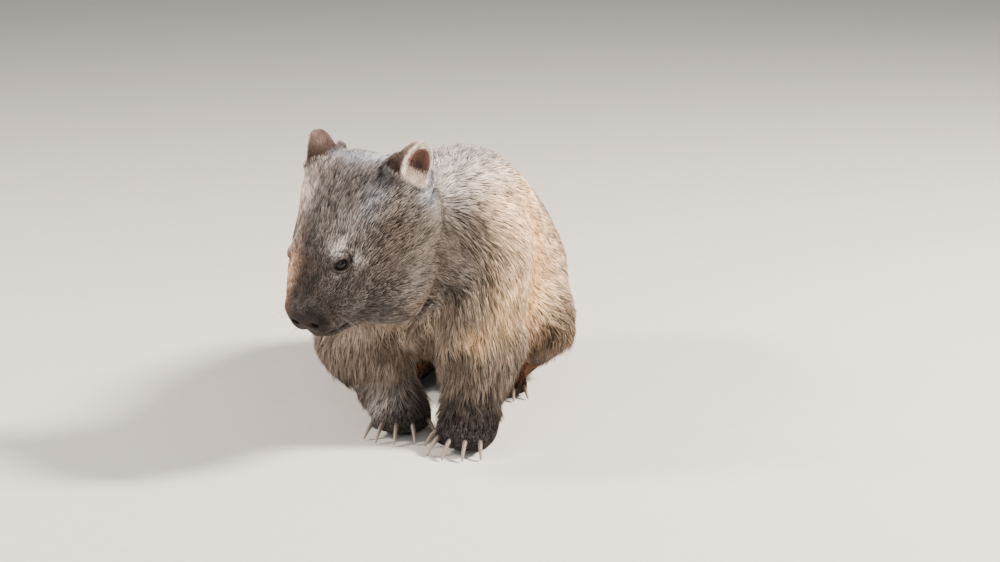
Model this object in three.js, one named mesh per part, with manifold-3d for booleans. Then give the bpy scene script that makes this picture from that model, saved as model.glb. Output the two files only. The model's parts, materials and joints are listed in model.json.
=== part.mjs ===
// A bare-nosed wombat, life size, standing hunched on four feet with its head lowered and turned to its right.
// Millimetres, +Z up. The animal faces -Y, so its left side is at +X. Its feet stand on z = 0.
// The body is one smooth distance field made of rounded masses. Each node is a skin of that field inside its
// own region, parted from its neighbours by thin cuts. Long hair is set on the skin as tapered locks.

import * as THREE from "three";
import { mergeVertices } from "three/addons/utils/BufferGeometryUtils.js";
import Module from "manifold-3d";

const wasm = await Module();
wasm.setup();

// Driving dimensions

const originShift = { x: 20.8, y: -131.2 }; // puts the origin under the middle of the outer box
const seam = 0.4; // width of the cuts between the nodes
const shag = 7; // how far the locks of long hair stand off the body under them
const shortestEdge = 0.05; // edges shorter than this are closed up
const backHeight = 325; // top of the arched back, coat included
const bellyHalfWidth = 109; // the widest place of the trunk
const rumpEnd = 428; // back of the rump, measured from the forepaws
const hindX = -24; // the hind part stands a little to the right

const headPlace = { x: -53, y: -83, z: 326 }; // midway between the roots of the ears
const headTurn = { right: 23, down: 31 }; // degrees
const eye = { x: 33, y: -105, z: -30, radius: 8.5 }; // in the head's frame, left eye
const noseTip = { y: -160, z: -68 };
const ear = { x: 58, y: 2, z: -4, height: 51.5, width: 22, out: 25, open: 72, back: 46 }; // lengths and degrees

const { degToRad, clamp, smoothstep } = THREE.MathUtils;
const v3 = (x, y, z) => new THREE.Vector3(x, y, z);

// Frames: a matrix from a part's own axes to the body's, with x to the animal's left, y back and z up

function frameAt(x, y, z, { right = 0, down = 0 } = {}) {
  const turn = new THREE.Matrix4().makeRotationZ(-degToRad(right));
  turn.multiply(new THREE.Matrix4().makeRotationX(degToRad(down)));
  return new THREE.Matrix4().makeTranslation(x, y, z).multiply(turn);
}

const bodyFrame = frameAt(0, 0, 0);
const headFrame = frameAt(headPlace.x, headPlace.y, headPlace.z, headTurn);

// An ear's own axes: x across the ear, -y the way its cup opens, z from root to tip.
function earFrame(side) {
  const place = new THREE.Matrix4().makeTranslation(side * ear.x, ear.y, ear.z);
  place.multiply(new THREE.Matrix4().makeRotationX(-degToRad(ear.back)));
  place.multiply(new THREE.Matrix4().makeRotationY(side * degToRad(ear.out)));
  place.multiply(new THREE.Matrix4().makeRotationZ(side * degToRad(ear.open)));
  return headFrame.clone().multiply(place);
}

// Distance fields: functions of a point that are negative inside, in millimetres

const scratch = new THREE.Vector3();

function oval(centre, half, frame = bodyFrame) {
  const inverse = frame.clone().invert();
  const [cx, cy, cz] = centre;
  const [a, b, c] = half;
  return (p) => {
    scratch.copy(p).applyMatrix4(inverse);
    const x = (scratch.x - cx) / a;
    const y = (scratch.y - cy) / b;
    const z = (scratch.z - cz) / c;
    const k0 = Math.sqrt(x * x + y * y + z * z);
    const k1 = Math.sqrt((x / a) ** 2 + (y / b) ** 2 + (z / c) ** 2);
    return k1 < 1e-9 ? -Math.min(a, b, c) : (k0 * (k0 - 1)) / k1;
  };
}

// A bar from a to b whose radius goes from ra to rb.
function limb(a, ra, b, rb, frame = bodyFrame) {
  const start = v3(...a).applyMatrix4(frame);
  const along = v3(...b).applyMatrix4(frame).sub(start);
  const lengthSq = along.lengthSq();
  return (p) => {
    scratch.copy(p).sub(start);
    const t = clamp(scratch.dot(along) / lengthSq, 0, 1);
    scratch.addScaledVector(along, -t);
    return scratch.length() - ra - (rb - ra) * t;
  };
}

// A thin ring around an axis through a point.
function ring(centre, axis, radius, tube) {
  const middle = centre.clone();
  const n = axis.clone().normalize();
  return (p) => {
    scratch.copy(p).sub(middle);
    const up = scratch.dot(n);
    const out = Math.sqrt(Math.max(scratch.lengthSq() - up * up, 0)) - radius;
    return Math.hypot(out, up) - tube;
  };
}

// The union of fields, rounded where they meet over about k millimetres.
function blend(k, fields) {
  return (p) => {
    let d = 1e6;
    for (const field of fields) {
      const e = field(p);
      const h = Math.max(k - Math.abs(d - e), 0) / k;
      d = Math.min(d, e) - (h * h * k) / 4;
    }
    return d;
  };
}

// A field with another field carved out of it, rounded over k millimetres at the edge.
function carve(k, field, hollow) {
  return (p) => {
    const d = field(p);
    const e = -hollow(p);
    const h = Math.max(k - Math.abs(d - e), 0) / k;
    return Math.max(d, e) + (h * h * k) / 4;
  };
}

const bothSides = (make) => [make(1), make(-1)];

// Trunk, neck and limbs

const trunk = blend(50, [
  oval([0, 62, 196], [92, 102, 100]), // chest
  oval([hindX * 0.34, 172, 190], [bellyHalfWidth, 130, backHeight - 190 - 2]), // belly and back
  oval([hindX, 272, 166], [101, 116, 120]), // loins
  oval([hindX, rumpEnd - 98, 148], [101, 98, 102]), // rump
]);

const neck = blend(40, [
  limb([-34, -38, 262], 66, [-2, 66, 218], 92),
  limb([-42, -50, 236], 58, [-8, 24, 186], 74), // throat
]);

const forelegs = {
  left: { shoulder: [52, 40, 180], elbow: [55, 32, 112], wrist: [49, 4, 46], paw: [52, -16], right: 14 },
  right: { shoulder: [-76, 24, 180], elbow: [-91, 30, 114], wrist: [-54, 40, 46], paw: [-39, 27], right: -7 },
};

const hindlegs = {
  left: { hip: [46, 264, 146], knee: [83, 211, 99], hock: [48, 300, 40], paw: [40, 226], right: -3 },
  right: { hip: [-98, 262, 150], knee: [-122, 206, 88], hock: [-100, 292, 40], paw: [-94, 214], right: 6 },
};

const pawFrame = ({ paw, right }) => frameAt(paw[0], paw[1], 0, { right });

// Toes: root, tip and radius in the paw's frame, inner toe first for a left paw
const foreToes = [
  { root: [-20, -2, 22], tip: [-30, -12, 18], radius: 9, claw: 12 },
  { root: [-10, -14, 24], tip: [-16, -33, 19], radius: 10.5, claw: 16 },
  { root: [0, -16, 24], tip: [0, -38, 19], radius: 11, claw: 17 },
  { root: [10, -14, 24], tip: [16, -34, 19], radius: 10.5, claw: 16 },
  { root: [18, -8, 22], tip: [28, -24, 17], radius: 9.5, claw: 14 },
];
const hindToes = [
  { root: [-9, -16, 18], tip: [-13, -33, 11], radius: 9, claw: 15 },
  { root: [1, -18, 18], tip: [1, -38, 11], radius: 9.5, claw: 16 },
  { root: [11, -16, 18], tip: [15, -34, 11], radius: 9, claw: 15 },
  { root: [18, -10, 17], tip: [26, -24, 11], radius: 8, claw: 13 },
];

const mirrored = ([x, y, z], side) => [side * x, y, z];

function forelegField(leg, side) {
  const frame = pawFrame(leg);
  const arm = blend(30, [
    limb(leg.shoulder, 51, leg.elbow, 46),
    limb(leg.elbow, 45, leg.wrist, 34),
  ]);
  const toes = foreToes.map((t) =>
    limb(mirrored(t.root, side), t.radius + 2, mirrored(t.tip, side), t.radius, frame));
  return blend(16, [arm, blend(7, [oval([0, 4, 20], [33, 34, 26], frame), ...toes])]);
}

function hindlegField(leg, side) {
  const frame = pawFrame(leg);
  const shank = blend(30, [
    limb(leg.hip, 62, leg.knee, 48),
    limb(leg.knee, 42, leg.hock, 32),
  ]);
  const toes = hindToes.map((t) =>
    limb(mirrored(t.root, side), t.radius + 2, mirrored(t.tip, side), t.radius, frame));
  const innerToe = limb(mirrored([-14, -2, 14], side), 10, mirrored([-24, -14, 10], side), 8, frame);
  const sole = limb([0, -4, 19], 25, [-2 * side, 78, 20], 23, frame);
  return blend(16, [shank, blend(7, [sole, innerToe, ...toes])]);
}

// Head, in its own frame: origin midway between the ears, nose towards -y

const noseCentre = [0, noseTip.y + 13, noseTip.z];

const skull = blend(26, [
  oval([0, 0, -36], [86, 56, 56], headFrame), // cranium
  ...bothSides((s) => oval([s * 36, 2, -32], [42, 50, 50], headFrame)), // crown beside each ear
  oval([0, -58, -38], [54, 56, 44], headFrame), // forehead
  ...bothSides((s) => oval([s * 40, -42, -88], [43, 66, 66], headFrame)), // cheeks
  limb([0, -98, -48], 33, [0, -128, -64], 29, headFrame), // muzzle
  ...bothSides((s) => oval([s * 21, -98, -68], [24, 42, 30], headFrame)), // flanks of the muzzle
  oval([0, -74, -96], [46, 60, 26], headFrame), // jaw
]);

const eyeCentre = (side) => v3(side * eye.x, eye.y, eye.z).applyMatrix4(headFrame);
const eyeAxis = (side) => v3(side * 0.8, -0.55, 0.22).normalize().transformDirection(headFrame);

const mouthLine = [
  [0, -160, -82], [0, -158, -90], [14, -150, -96], [28, -130, -98], [36, -108, -94],
];

function mouthGroove() {
  const runs = [];
  for (const side of [1, -1])
    for (let i = 1; i < mouthLine.length; i++)
      runs.push(limb(mirrored(mouthLine[i - 1], side), 1.7, mirrored(mouthLine[i], side), 1.7, headFrame));
  return (p) => Math.min(...runs.map((run) => run(p)));
}

const face = blend(9, [
  skull,
  oval(noseCentre, [29, 14, 20], headFrame), // bare pad of the nose
  ...bothSides((s) => oval([s * 15, -140, -84], [17, 20, 14], headFrame)), // upper lips
  oval([0, -126, -101], [21, 24, 12], headFrame), // chin
  ...bothSides((s) => oval([s * (eye.x - 7), eye.y + 7, eye.z + 9], [10, 16, 10], headFrame)), // brows
]);

const lids = bothSides((s) => ring(eyeCentre(s).addScaledVector(eyeAxis(s), 4.6), eyeAxis(s), 8, 2.8));
const lidOpenings = bothSides((s) => {
  const front = (out) => eyeCentre(s).addScaledVector(eyeAxis(s), out).toArray();
  return limb(front(8), 5.6, front(14), 6.4);
});

function earField(side) {
  const frame = earFrame(side);
  const { height: h, width: w } = ear;
  const shell = blend(8, [
    oval([0, 2, h * 0.3], [w, w * 0.82, h * 0.68], frame),
    oval([0, 3, h * 0.6], [w * 0.6, w * 0.45, h * 0.4], frame),
    limb([0, 4, -12], 24, [0, 4, 6], 20, frame), // root
  ]);
  return carve(3, shell, oval([0, -13, h * 0.47], [w * 0.68, w * 0.84, h * 0.52], frame));
}

const nostrils = bothSides((s) => limb([s * 9, noseTip.y + 1, noseTip.z - 4], 3.6, [s * 17, noseTip.y + 10, noseTip.z], 4.2, headFrame));

const faceDetail = [mouthGroove(), ...nostrils, ...lidOpenings].reduce(
  (field, hollow) => carve(2, field, hollow), blend(4, [face, ...lids]));
const head = blend(7, [faceDetail, earField(1), earField(-1)]);

const legFields = [
  forelegField(forelegs.left, 1),
  forelegField(forelegs.right, -1),
  hindlegField(hindlegs.left, 1),
  hindlegField(hindlegs.right, -1),
];

const tail = limb([hindX, rumpEnd - 16, 138], 20, [hindX, rumpEnd + 12, 124], 10);

const core = blend(44, [trunk, neck]);

function body(p) {
  const whole = core(p);
  const join = (k, other) => {
    const e = other(p);
    const h = Math.max(k - Math.abs(whole - e), 0) / k;
    return Math.min(whole, e) - (h * h * k) / 4;
  };
  let d = Math.min(join(20, head), join(14, tail));
  for (const leg of legFields) d = Math.min(d, join(38, leg));
  return d + (longHair(p) ? shag * longHair(p) : 0);
}

// Where the coat is long enough to hang in locks: 1 on chest, forelegs, belly and hams, 0 on face and paws
function longHair({ x, y, z }) {
  const front = (1 - smoothstep(y, 80, 150)) * (1 - smoothstep(z, 165, 225));
  const under = 1 - smoothstep(z, 70, 125);
  const shaggy = Math.max(front, under) * smoothstep(z, 40, 64);
  return shaggy && shaggy * smoothstep(skull(v3(x, y, z)), 2, 34);
}

// Skin of a field: one point in each grid cell that the surface crosses, moved onto the surface

function slope(field, p) {
  const h = 0.4;
  const at = (x, y, z) => field(v3(p.x + x, p.y + y, p.z + z));
  return v3(at(h, 0, 0) - at(-h, 0, 0), at(0, h, 0) - at(0, -h, 0), at(0, 0, h) - at(0, 0, -h))
    .divideScalar(2 * h);
}

function settle(field, p, steps = 3) {
  for (let i = 0; i < steps; i++) {
    const g = slope(field, p);
    p.addScaledVector(g, -field(p) / Math.max(g.lengthSq(), 0.1));
  }
  return p;
}

// A grid square whose corners are in, out, in, out would pinch the skin, so its faintest corner changes side.
function untangle(values, n, index) {
  for (let round = 0, changed = true; changed && round < 12; round++) {
    changed = false;
    for (let i = 1; i < n[0] - 1; i++)
      for (let j = 1; j < n[1] - 1; j++)
        for (let k = 1; k < n[2] - 1; k++)
          for (const [u, v] of [[[1, 0, 0], [0, 1, 0]], [[1, 0, 0], [0, 0, 1]], [[0, 1, 0], [0, 0, 1]]]) {
            const corners = [
              index(i, j, k),
              index(i + u[0], j + u[1], k + u[2]),
              index(i + u[0] + v[0], j + u[1] + v[1], k + u[2] + v[2]),
              index(i + v[0], j + v[1], k + v[2]),
            ];
            const [a, b, c, d] = corners.map((at) => values[at] < 0);
            if (a !== c || b !== d || a === b) continue;
            const faint = corners.reduce((x, y) => (Math.abs(values[y]) < Math.abs(values[x]) ? y : x));
            values[faint] = values[faint] < 0 ? 0.01 : -0.01;
            changed = true;
          }
  }
}

function skin(field, { frame = bodyFrame, low, high, cell, triangles }) {
  const n = low.map((a, i) => Math.ceil((high[i] - a) / cell) + 1);
  const index = (i, j, k) => (i * n[1] + j) * n[2] + k;
  const values = new Float64Array(n[0] * n[1] * n[2]);
  const corner = v3(0, 0, 0);
  const cornerAt = (i, j, k) =>
    corner.set(low[0] + i * cell, low[1] + j * cell, low[2] + k * cell).applyMatrix4(frame);
  for (let i = 0; i < n[0]; i++)
    for (let j = 0; j < n[1]; j++)
      for (let k = 0; k < n[2]; k++) {
        const edge = !i || !j || !k || i === n[0] - 1 || j === n[1] - 1 || k === n[2] - 1;
        const d = field(cornerAt(i, j, k));
        values[index(i, j, k)] = edge ? Math.max(d, 0.01) : d;
      }
  untangle(values, n, index);
  const points = [];
  const cellPoint = new Int32Array(values.length).fill(-1);
  for (let i = 0; i < n[0] - 1; i++)
    for (let j = 0; j < n[1] - 1; j++)
      for (let k = 0; k < n[2] - 1; k++) {
        const mean = v3(0, 0, 0);
        let crossings = 0;
        for (let axis = 0; axis < 3; axis++)
          for (let turn = 0; turn < 4; turn++) {
            const from = [i, j, k];
            from[(axis + 1) % 3] += turn & 1;
            from[(axis + 2) % 3] += turn >> 1;
            const to = [...from];
            to[axis] += 1;
            const d0 = values[index(...from)];
            const d1 = values[index(...to)];
            if (d0 < 0 === d1 < 0) continue;
            const start = cornerAt(...from).clone();
            mean.add(start.lerp(cornerAt(...to), d0 / (d0 - d1)));
            crossings++;
          }
        if (!crossings) continue;
        const p = mean.divideScalar(crossings);
        const before = p.clone();
        settle(field, p);
        if (p.distanceTo(before) > cell * 0.7) p.copy(before);
        cellPoint[index(i, j, k)] = points.length;
        points.push(p);
      }
  const faces = [];
  const offsets = [[0, 0], [-1, 0], [-1, -1], [0, -1]];
  for (let i = 0; i < n[0] - 1; i++)
    for (let j = 0; j < n[1] - 1; j++)
      for (let k = 0; k < n[2] - 1; k++)
        for (let axis = 0; axis < 3; axis++) {
          const to = [i, j, k];
          to[axis] += 1;
          const inside = values[index(i, j, k)] < 0;
          if (inside === values[index(...to)] < 0) continue;
          const around = offsets.map(([u, v]) => {
            const at = [i, j, k];
            at[(axis + 1) % 3] += u;
            at[(axis + 2) % 3] += v;
            return cellPoint[index(...at)];
          });
          const [a, b, c, d] = inside ? around : around.toReversed();
          const short = points[a].distanceTo(points[c]) < points[b].distanceTo(points[d]);
          faces.push(...(short ? [[a, b, c], [a, c, d]] : [[a, b, d], [b, c, d]]));
        }
  return solidOf(points, thinned(points, faces, { triangles }));
}

// Fewer, larger triangles: the edge whose loss changes the form least goes first. With a shortest edge given,
// only the edges below it go.

function thinned(points, faces, { triangles = 0, shortest = 0 }) {
  const quadrics = points.map(() => new Float64Array(10));
  const around = points.map(() => new Set());
  const normalOf = ([a, b, c]) =>
    points[b].clone().sub(points[a]).cross(points[c].clone().sub(points[a]));
  faces.forEach((face, f) => {
    const n = normalOf(face);
    const area = n.length();
    if (area > 1e-12) n.divideScalar(area);
    const d = -n.dot(points[face[0]]);
    const q = [n.x * n.x, n.x * n.y, n.x * n.z, n.x * d, n.y * n.y, n.y * n.z, n.y * d, n.z * n.z, n.z * d, d * d];
    for (const v of face) {
      around[v].add(f);
      for (let i = 0; i < 10; i++) quadrics[v][i] += q[i] * area;
    }
  });
  const alive = new Uint8Array(faces.length).fill(1);
  const stamp = new Uint32Array(points.length);
  const errorAt = (q, { x, y, z }) =>
    q[0] * x * x + 2 * q[1] * x * y + 2 * q[2] * x * z + 2 * q[3] * x + q[4] * y * y +
    2 * q[5] * y * z + 2 * q[6] * y + q[7] * z * z + 2 * q[8] * z + q[9];
  const heap = [];
  const less = (a, b) => heap[a].cost < heap[b].cost;
  const swap = (a, b) => ([heap[a], heap[b]] = [heap[b], heap[a]]);
  function push(item) {
    heap.push(item);
    for (let i = heap.length - 1; i > 0; ) {
      const up = (i - 1) >> 1;
      if (!less(i, up)) break;
      swap(i, up);
      i = up;
    }
  }
  function pop() {
    swap(0, heap.length - 1);
    const item = heap.pop();
    for (let i = 0; ; ) {
      let low = i;
      for (const child of [2 * i + 1, 2 * i + 2]) if (child < heap.length && less(child, low)) low = child;
      if (low === i) return item;
      swap(i, low);
      i = low;
    }
  }
  function offer(a, b) {
    const length = points[a].distanceTo(points[b]);
    if (shortest && length > shortest) return;
    const q = quadrics[a].map((value, i) => value + quadrics[b][i]);
    const middle = points[a].clone().lerp(points[b], 0.5);
    const best = [points[a], points[b], middle].reduce((x, y) => (errorAt(q, y) < errorAt(q, x) ? y : x));
    const shape = length ** 2 * 1e-3;
    push({ cost: Math.max(errorAt(q, best), 0) + shape, a, b, at: best.clone(), ages: stamp[a] + stamp[b] });
  }
  const neighbours = (v) => {
    const set = new Set();
    for (const f of around[v]) for (const u of faces[f]) if (u !== v) set.add(u);
    return set;
  };
  for (const [a, b, c] of faces) for (const [u, v] of [[a, b], [b, c], [c, a]]) if (u < v) offer(u, v);
  let count = faces.length;
  while (count > triangles && heap.length) {
    const { a, b, at, ages } = pop();
    if (stamp[a] + stamp[b] !== ages || !around[a].size || !around[b].size) continue;
    const nearB = neighbours(b);
    const shared = [...neighbours(a)].filter((v) => nearB.has(v));
    if (shared.length !== 2) continue;
    const gone = [...around[a]].filter((f) => around[b].has(f));
    if (gone.length !== 2) continue;
    const folds = (v) =>
      [...around[v]].some((f) => {
        if (gone.includes(f)) return false;
        const before = normalOf(faces[f]);
        const kept = points[v];
        points[v] = at;
        const after = normalOf(faces[f]);
        points[v] = kept;
        return before.dot(after) < 0.35 * before.length() * after.length();
      });
    if (!shortest && (folds(a) || folds(b))) continue;
    for (const f of gone) {
      alive[f] = 0;
      for (const v of faces[f]) around[v].delete(f);
    }
    for (const f of around[b]) {
      faces[f] = faces[f].map((v) => (v === b ? a : v));
      around[a].add(f);
    }
    around[b] = new Set();
    points[a] = at;
    quadrics[a] = quadrics[a].map((value, i) => value + quadrics[b][i]);
    stamp[a] += 1e6;
    stamp[b] += 1e6;
    for (const v of neighbours(a)) offer(Math.min(a, v), Math.max(a, v));
    count -= 2;
  }
  return faces.filter((face, f) => alive[f]);
}

// Solids and cuts

function solidOf(points, faces) {
  const number = new Map();
  const vertProperties = [];
  const triVerts = faces.flat().map((v) => {
    if (!number.has(v)) {
      number.set(v, number.size);
      vertProperties.push(points[v].x, points[v].y, points[v].z);
    }
    return number.get(v);
  });
  return new wasm.Manifold(
    new wasm.Mesh({
      numProp: 3,
      vertProperties: new Float32Array(vertProperties),
      triVerts: new Uint32Array(triVerts),
    }),
  );
}

function solidOfGeometry(geometry) {
  const bare = geometry.clone();
  bare.deleteAttribute("normal");
  bare.deleteAttribute("uv");
  const merged = mergeVertices(bare, 1e-4);
  const at = merged.attributes.position;
  const points = Array.from({ length: at.count }, (_, i) => v3(at.getX(i), at.getY(i), at.getZ(i)));
  const faces = [];
  for (let i = 0; i < merged.index.count; i += 3) faces.push([...merged.index.array.slice(i, i + 3)]);
  return solidOf(points, faces);
}

const far = 1500;

// Everything on the side of a plane that its normal points to; grow moves the plane outwards.
function beyond(point, normal, grow = 0, frame = bodyFrame) {
  const n = v3(...normal).normalize().transformDirection(frame);
  const box = new THREE.BoxGeometry(far, far, far);
  box.applyQuaternion(new THREE.Quaternion().setFromUnitVectors(v3(0, 0, 1), n));
  const centre = v3(...point).applyMatrix4(frame).addScaledVector(n, far / 2 - grow);
  return solidOfGeometry(box.translate(centre.x, centre.y, centre.z));
}

function ovalSolid(centre, half, grow = 0, frame = bodyFrame, steps = 28) {
  const ball = new THREE.SphereGeometry(1, steps, steps / 2);
  ball.scale(half[0] + grow, half[1] + grow, half[2] + grow).translate(...centre);
  return solidOfGeometry(ball.applyMatrix4(frame));
}

const largest = (solid) => solid.decompose().reduce((a, b) => (a.volume() > b.volume() ? a : b));

// Regions: each is a function of how far its walls move outwards

const wall = (point, normal, frame) => (grow) => beyond(point, normal, grow, frame);
const within = (...walls) => (grow) => walls.map((w) => w(grow)).reduce((a, b) => a.intersect(b));

const regions = {};
const boxes = {};

for (const side of [1, -1]) {
  const name = side > 0 ? "left" : "right";
  const fore = forelegs[name];
  const hind = hindlegs[name];
  const frame = earFrame(side);
  const earSpace = (grow) => ovalSolid([0, 2, 40], [44, 34, 46], grow, frame, 12);
  regions[`ear_${name}`] = within(wall([0, 0, 7], [0, 0, 1], frame), earSpace);
  boxes[`ear_${name}`] = { frame, low: [-34, -24, -8], high: [34, 34, 72], cell: 3.2, triangles: 460 };
  const foreMiddle = wall([0, 0, 0], [side, 0, 0]);
  const foreTop = wall([side * 16, 30, 106], [side * 0.5, -0.1, -0.87]);
  const foreBack = wall([0, 112, 0], [0, -1, -0.15]);
  const ankle = wall([fore.paw[0], fore.paw[1] + 20, 45], [0, -0.25, -1]);
  regions[`forepaw_${name}`] = within(ankle, foreMiddle, foreBack);
  regions[`foreleg_${name}`] = within(foreTop, foreMiddle, foreBack);
  const [px, py] = fore.paw;
  boxes[`forepaw_${name}`] = {
    frame: pawFrame(fore), low: [-58, -64, -6], high: [58, 74, 66], cell: 4.4, triangles: 800,
  };
  boxes[`foreleg_${name}`] = {
    low: [px - 90, py - 60, 20], high: [px + 100, py + 130, 190], cell: 8, triangles: 900,
  };
  const hindMiddle = wall([hindX, 0, 0], [side, 0, 0]);
  const hindTop = wall([hindX + side * 56, 250, 74], [side * 0.72, 0, -0.7]);
  const hindFront = wall([0, 150, 60], [0, 1, -0.1]);
  const hindBack = wall([0, 345, 60], [0, -1, -0.35]);
  const heel = wall([hind.paw[0], hind.paw[1] + 40, 43], [0, 0, -1]);
  regions[`hindfoot_${name}`] = within(heel, hindMiddle, hindFront, hindBack);
  regions[`hindleg_${name}`] = within(hindTop, hindMiddle, hindFront, hindBack);
  const [hx, hy] = hind.paw;
  boxes[`hindfoot_${name}`] = {
    frame: pawFrame(hind), low: [-66, -62, -6], high: [66, 150, 62], cell: 5, triangles: 620,
  };
  boxes[`hindleg_${name}`] = {
    low: [hx - 100, hy - 110, 20], high: [hx + 110, hy + 190, 230], cell: 9, triangles: 700,
  };
}

const nosePad = (grow) => ovalSolid([0, noseTip.y + 5, noseTip.z], [29, 15, 21], grow, headFrame, 20);
regions.nose = nosePad;
boxes.nose = { frame: headFrame, low: [-36, noseTip.y - 12, -96], high: [36, noseTip.y + 30, -34], cell: 2.6, triangles: 420 };
regions.tail = within(wall([hindX, rumpEnd - 4, 130], [0, 1, -0.35]));
boxes.tail = { low: [hindX - 50, rumpEnd - 60, 80], high: [hindX + 50, rumpEnd + 40, 180], cell: 6, triangles: 160 };
regions.head = within(wall([0, 40, -46], [0, -1, 0.1], headFrame), wall([0, 20, -128], [0, -0.28, 0.95], headFrame));
boxes.head = { frame: headFrame, low: [-100, -180, -172], high: [100, 80, 48], cell: 3.8, triangles: 3000 };
regions.neck = within(wall([-14, 26, 232], [-0.3, -0.86, 0.2]), wall([-30, -10, 172], [-0.2, -0.5, 0.85]));
boxes.neck = { low: [-180, -150, 120], high: [130, 120, 370], cell: 9, triangles: 900 };
regions.rump = within(wall([hindX, 262, 160], [0, 1, 0]));
boxes.rump = { low: [-190, 220, 10], high: [150, 470, 350], cell: 11, triangles: 1300 };
regions.torso = () => null;
boxes.torso = { low: [-190, -90, 20], high: [180, 320, 370], cell: 11, triangles: 2200 };

const order = [
  "ear_left", "ear_right", "nose", "head", "neck",
  "forepaw_left", "forepaw_right", "foreleg_left", "foreleg_right",
  "hindfoot_left", "hindfoot_right", "hindleg_left", "hindleg_right",
  "tail", "rump", "torso",
];

const skins = Object.fromEntries(order.map((name) => [name, skin(body, boxes[name])]));

// Locks: flat tapered tufts that leave the coat, lie along it and overlap, their roots sunk in the body

let seed = 7;
function random(low, high) {
  seed = (seed * 1664525 + 1013904223) % 4294967296;
  return low + ((high - low) * seed) / 4294967296;
}

function lock(near, guide, length, width) {
  const onBody = (p, out) => {
    const q = settle(body, p.clone(), 5);
    const n = slope(body, q).normalize();
    return { q, n, at: q.clone().addScaledVector(n, out) };
  };
  const { q: start, n } = onBody(near, 0);
  const lie = v3(...guide).add(v3(random(-0.15, 0.15), random(-0.15, 0.15), random(-0.1, 0.1)));
  lie.addScaledVector(n, -lie.dot(n)).normalize();
  const middle = onBody(start.clone().addScaledVector(lie, length * 0.5), shag * 0.55);
  const bend = lie.clone().cross(n).multiplyScalar(random(-0.16, 0.16) * length);
  const end = onBody(start.clone().addScaledVector(lie, length).add(bend), shag * random(1, 1.3));
  const rows = [
    { at: start.clone().addScaledVector(n, -8).addScaledVector(lie, -9), n, width: width * 0.6, high: 4 },
    { at: start.clone().addScaledVector(lie, length * 0.1), n, width, high: 6 },
    { at: middle.at, n: middle.n, width: width * 0.8, high: 4 },
  ];
  const points = rows.flatMap((row) => {
    const across = lie.clone().cross(row.n).normalize().multiplyScalar(row.width / 2);
    return [
      row.at.clone().sub(across).addScaledVector(row.n, -1.5),
      row.at.clone().add(across).addScaledVector(row.n, -1.5),
      row.at.clone().addScaledVector(row.n, row.high),
    ];
  });
  points.push(end.at);
  const faces = [[0, 1, 2]];
  for (const k of [0, 3])
    for (const [a, b] of [[0, 2], [2, 1], [1, 0]])
      faces.push([k + a, k + b, k + b + 3], [k + a, k + b + 3, k + a + 3]);
  faces.push([6, 8, 9], [8, 7, 9], [7, 6, 9]);
  const solid = solidOf(points, faces);
  return solid.volume() < 0 ? solidOf(points, faces.map(([a, b, c]) => [a, c, b])) : solid;
}

const locks = [];

// Rings of locks round a foreleg, each row over the roots of the one below
for (const { elbow, wrist } of [forelegs.left, forelegs.right])
  for (const [row, height] of [84, 108, 134].entries()) {
    const t = clamp((elbow[2] - height) / (elbow[2] - wrist[2]), 0, 1);
    const x = elbow[0] + (wrist[0] - elbow[0]) * t;
    const y = elbow[1] + (wrist[1] - elbow[1]) * t;
    const count = 7;
    for (let i = 0; i < count; i++) {
      const angle = (2 * Math.PI * (i + row / 2)) / count + random(-0.15, 0.15);
      const near = v3(x + 60 * Math.cos(angle), y + 60 * Math.sin(angle), height + random(-5, 5));
      if (Math.abs(near.x) < 16) continue;
      locks.push(lock(near, [0.1 * Math.cos(angle), -0.25, -1], random(50, 58), random(30, 35)));
    }
  }

// Rows across the chest and throat, hanging down between the forelegs
for (const [row, height] of [150, 176, 200].entries())
  for (let i = 0; i < 5; i++) {
    const x = -64 + 30 * i + (row % 2) * 15 + random(-4, 4);
    locks.push(lock(v3(x, -90, height + random(-5, 5)), [0.1, 0.1, -1], random(54, 62), random(30, 35)));
  }

// Along both sides of the belly and the hams, swept back and down
for (const side of [1, -1]) {
  for (let y = 108; y < 190; y += 26)
    locks.push(lock(v3(side * 150 + hindX * 0.3, y, 96 + random(-8, 8)), [0, 0.6, -1], random(52, 60), random(29, 34)));
  for (let i = 0; i < 6; i++)
    locks.push(lock(
      v3(hindX + side * (150 - 26 * i), 300 + 26 * i, 84 + random(-8, 8)), [0, 0.5, -1], random(52, 60), random(29, 34)));
}

// Eyeballs and claws sit in seats cut into the head and the toes

const eyeBall = (side, grow) => ovalSolid([0, 0, 0], [eye.radius, eye.radius, eye.radius], grow,
  new THREE.Matrix4().setPosition(eyeCentre(side)), 16);

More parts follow.
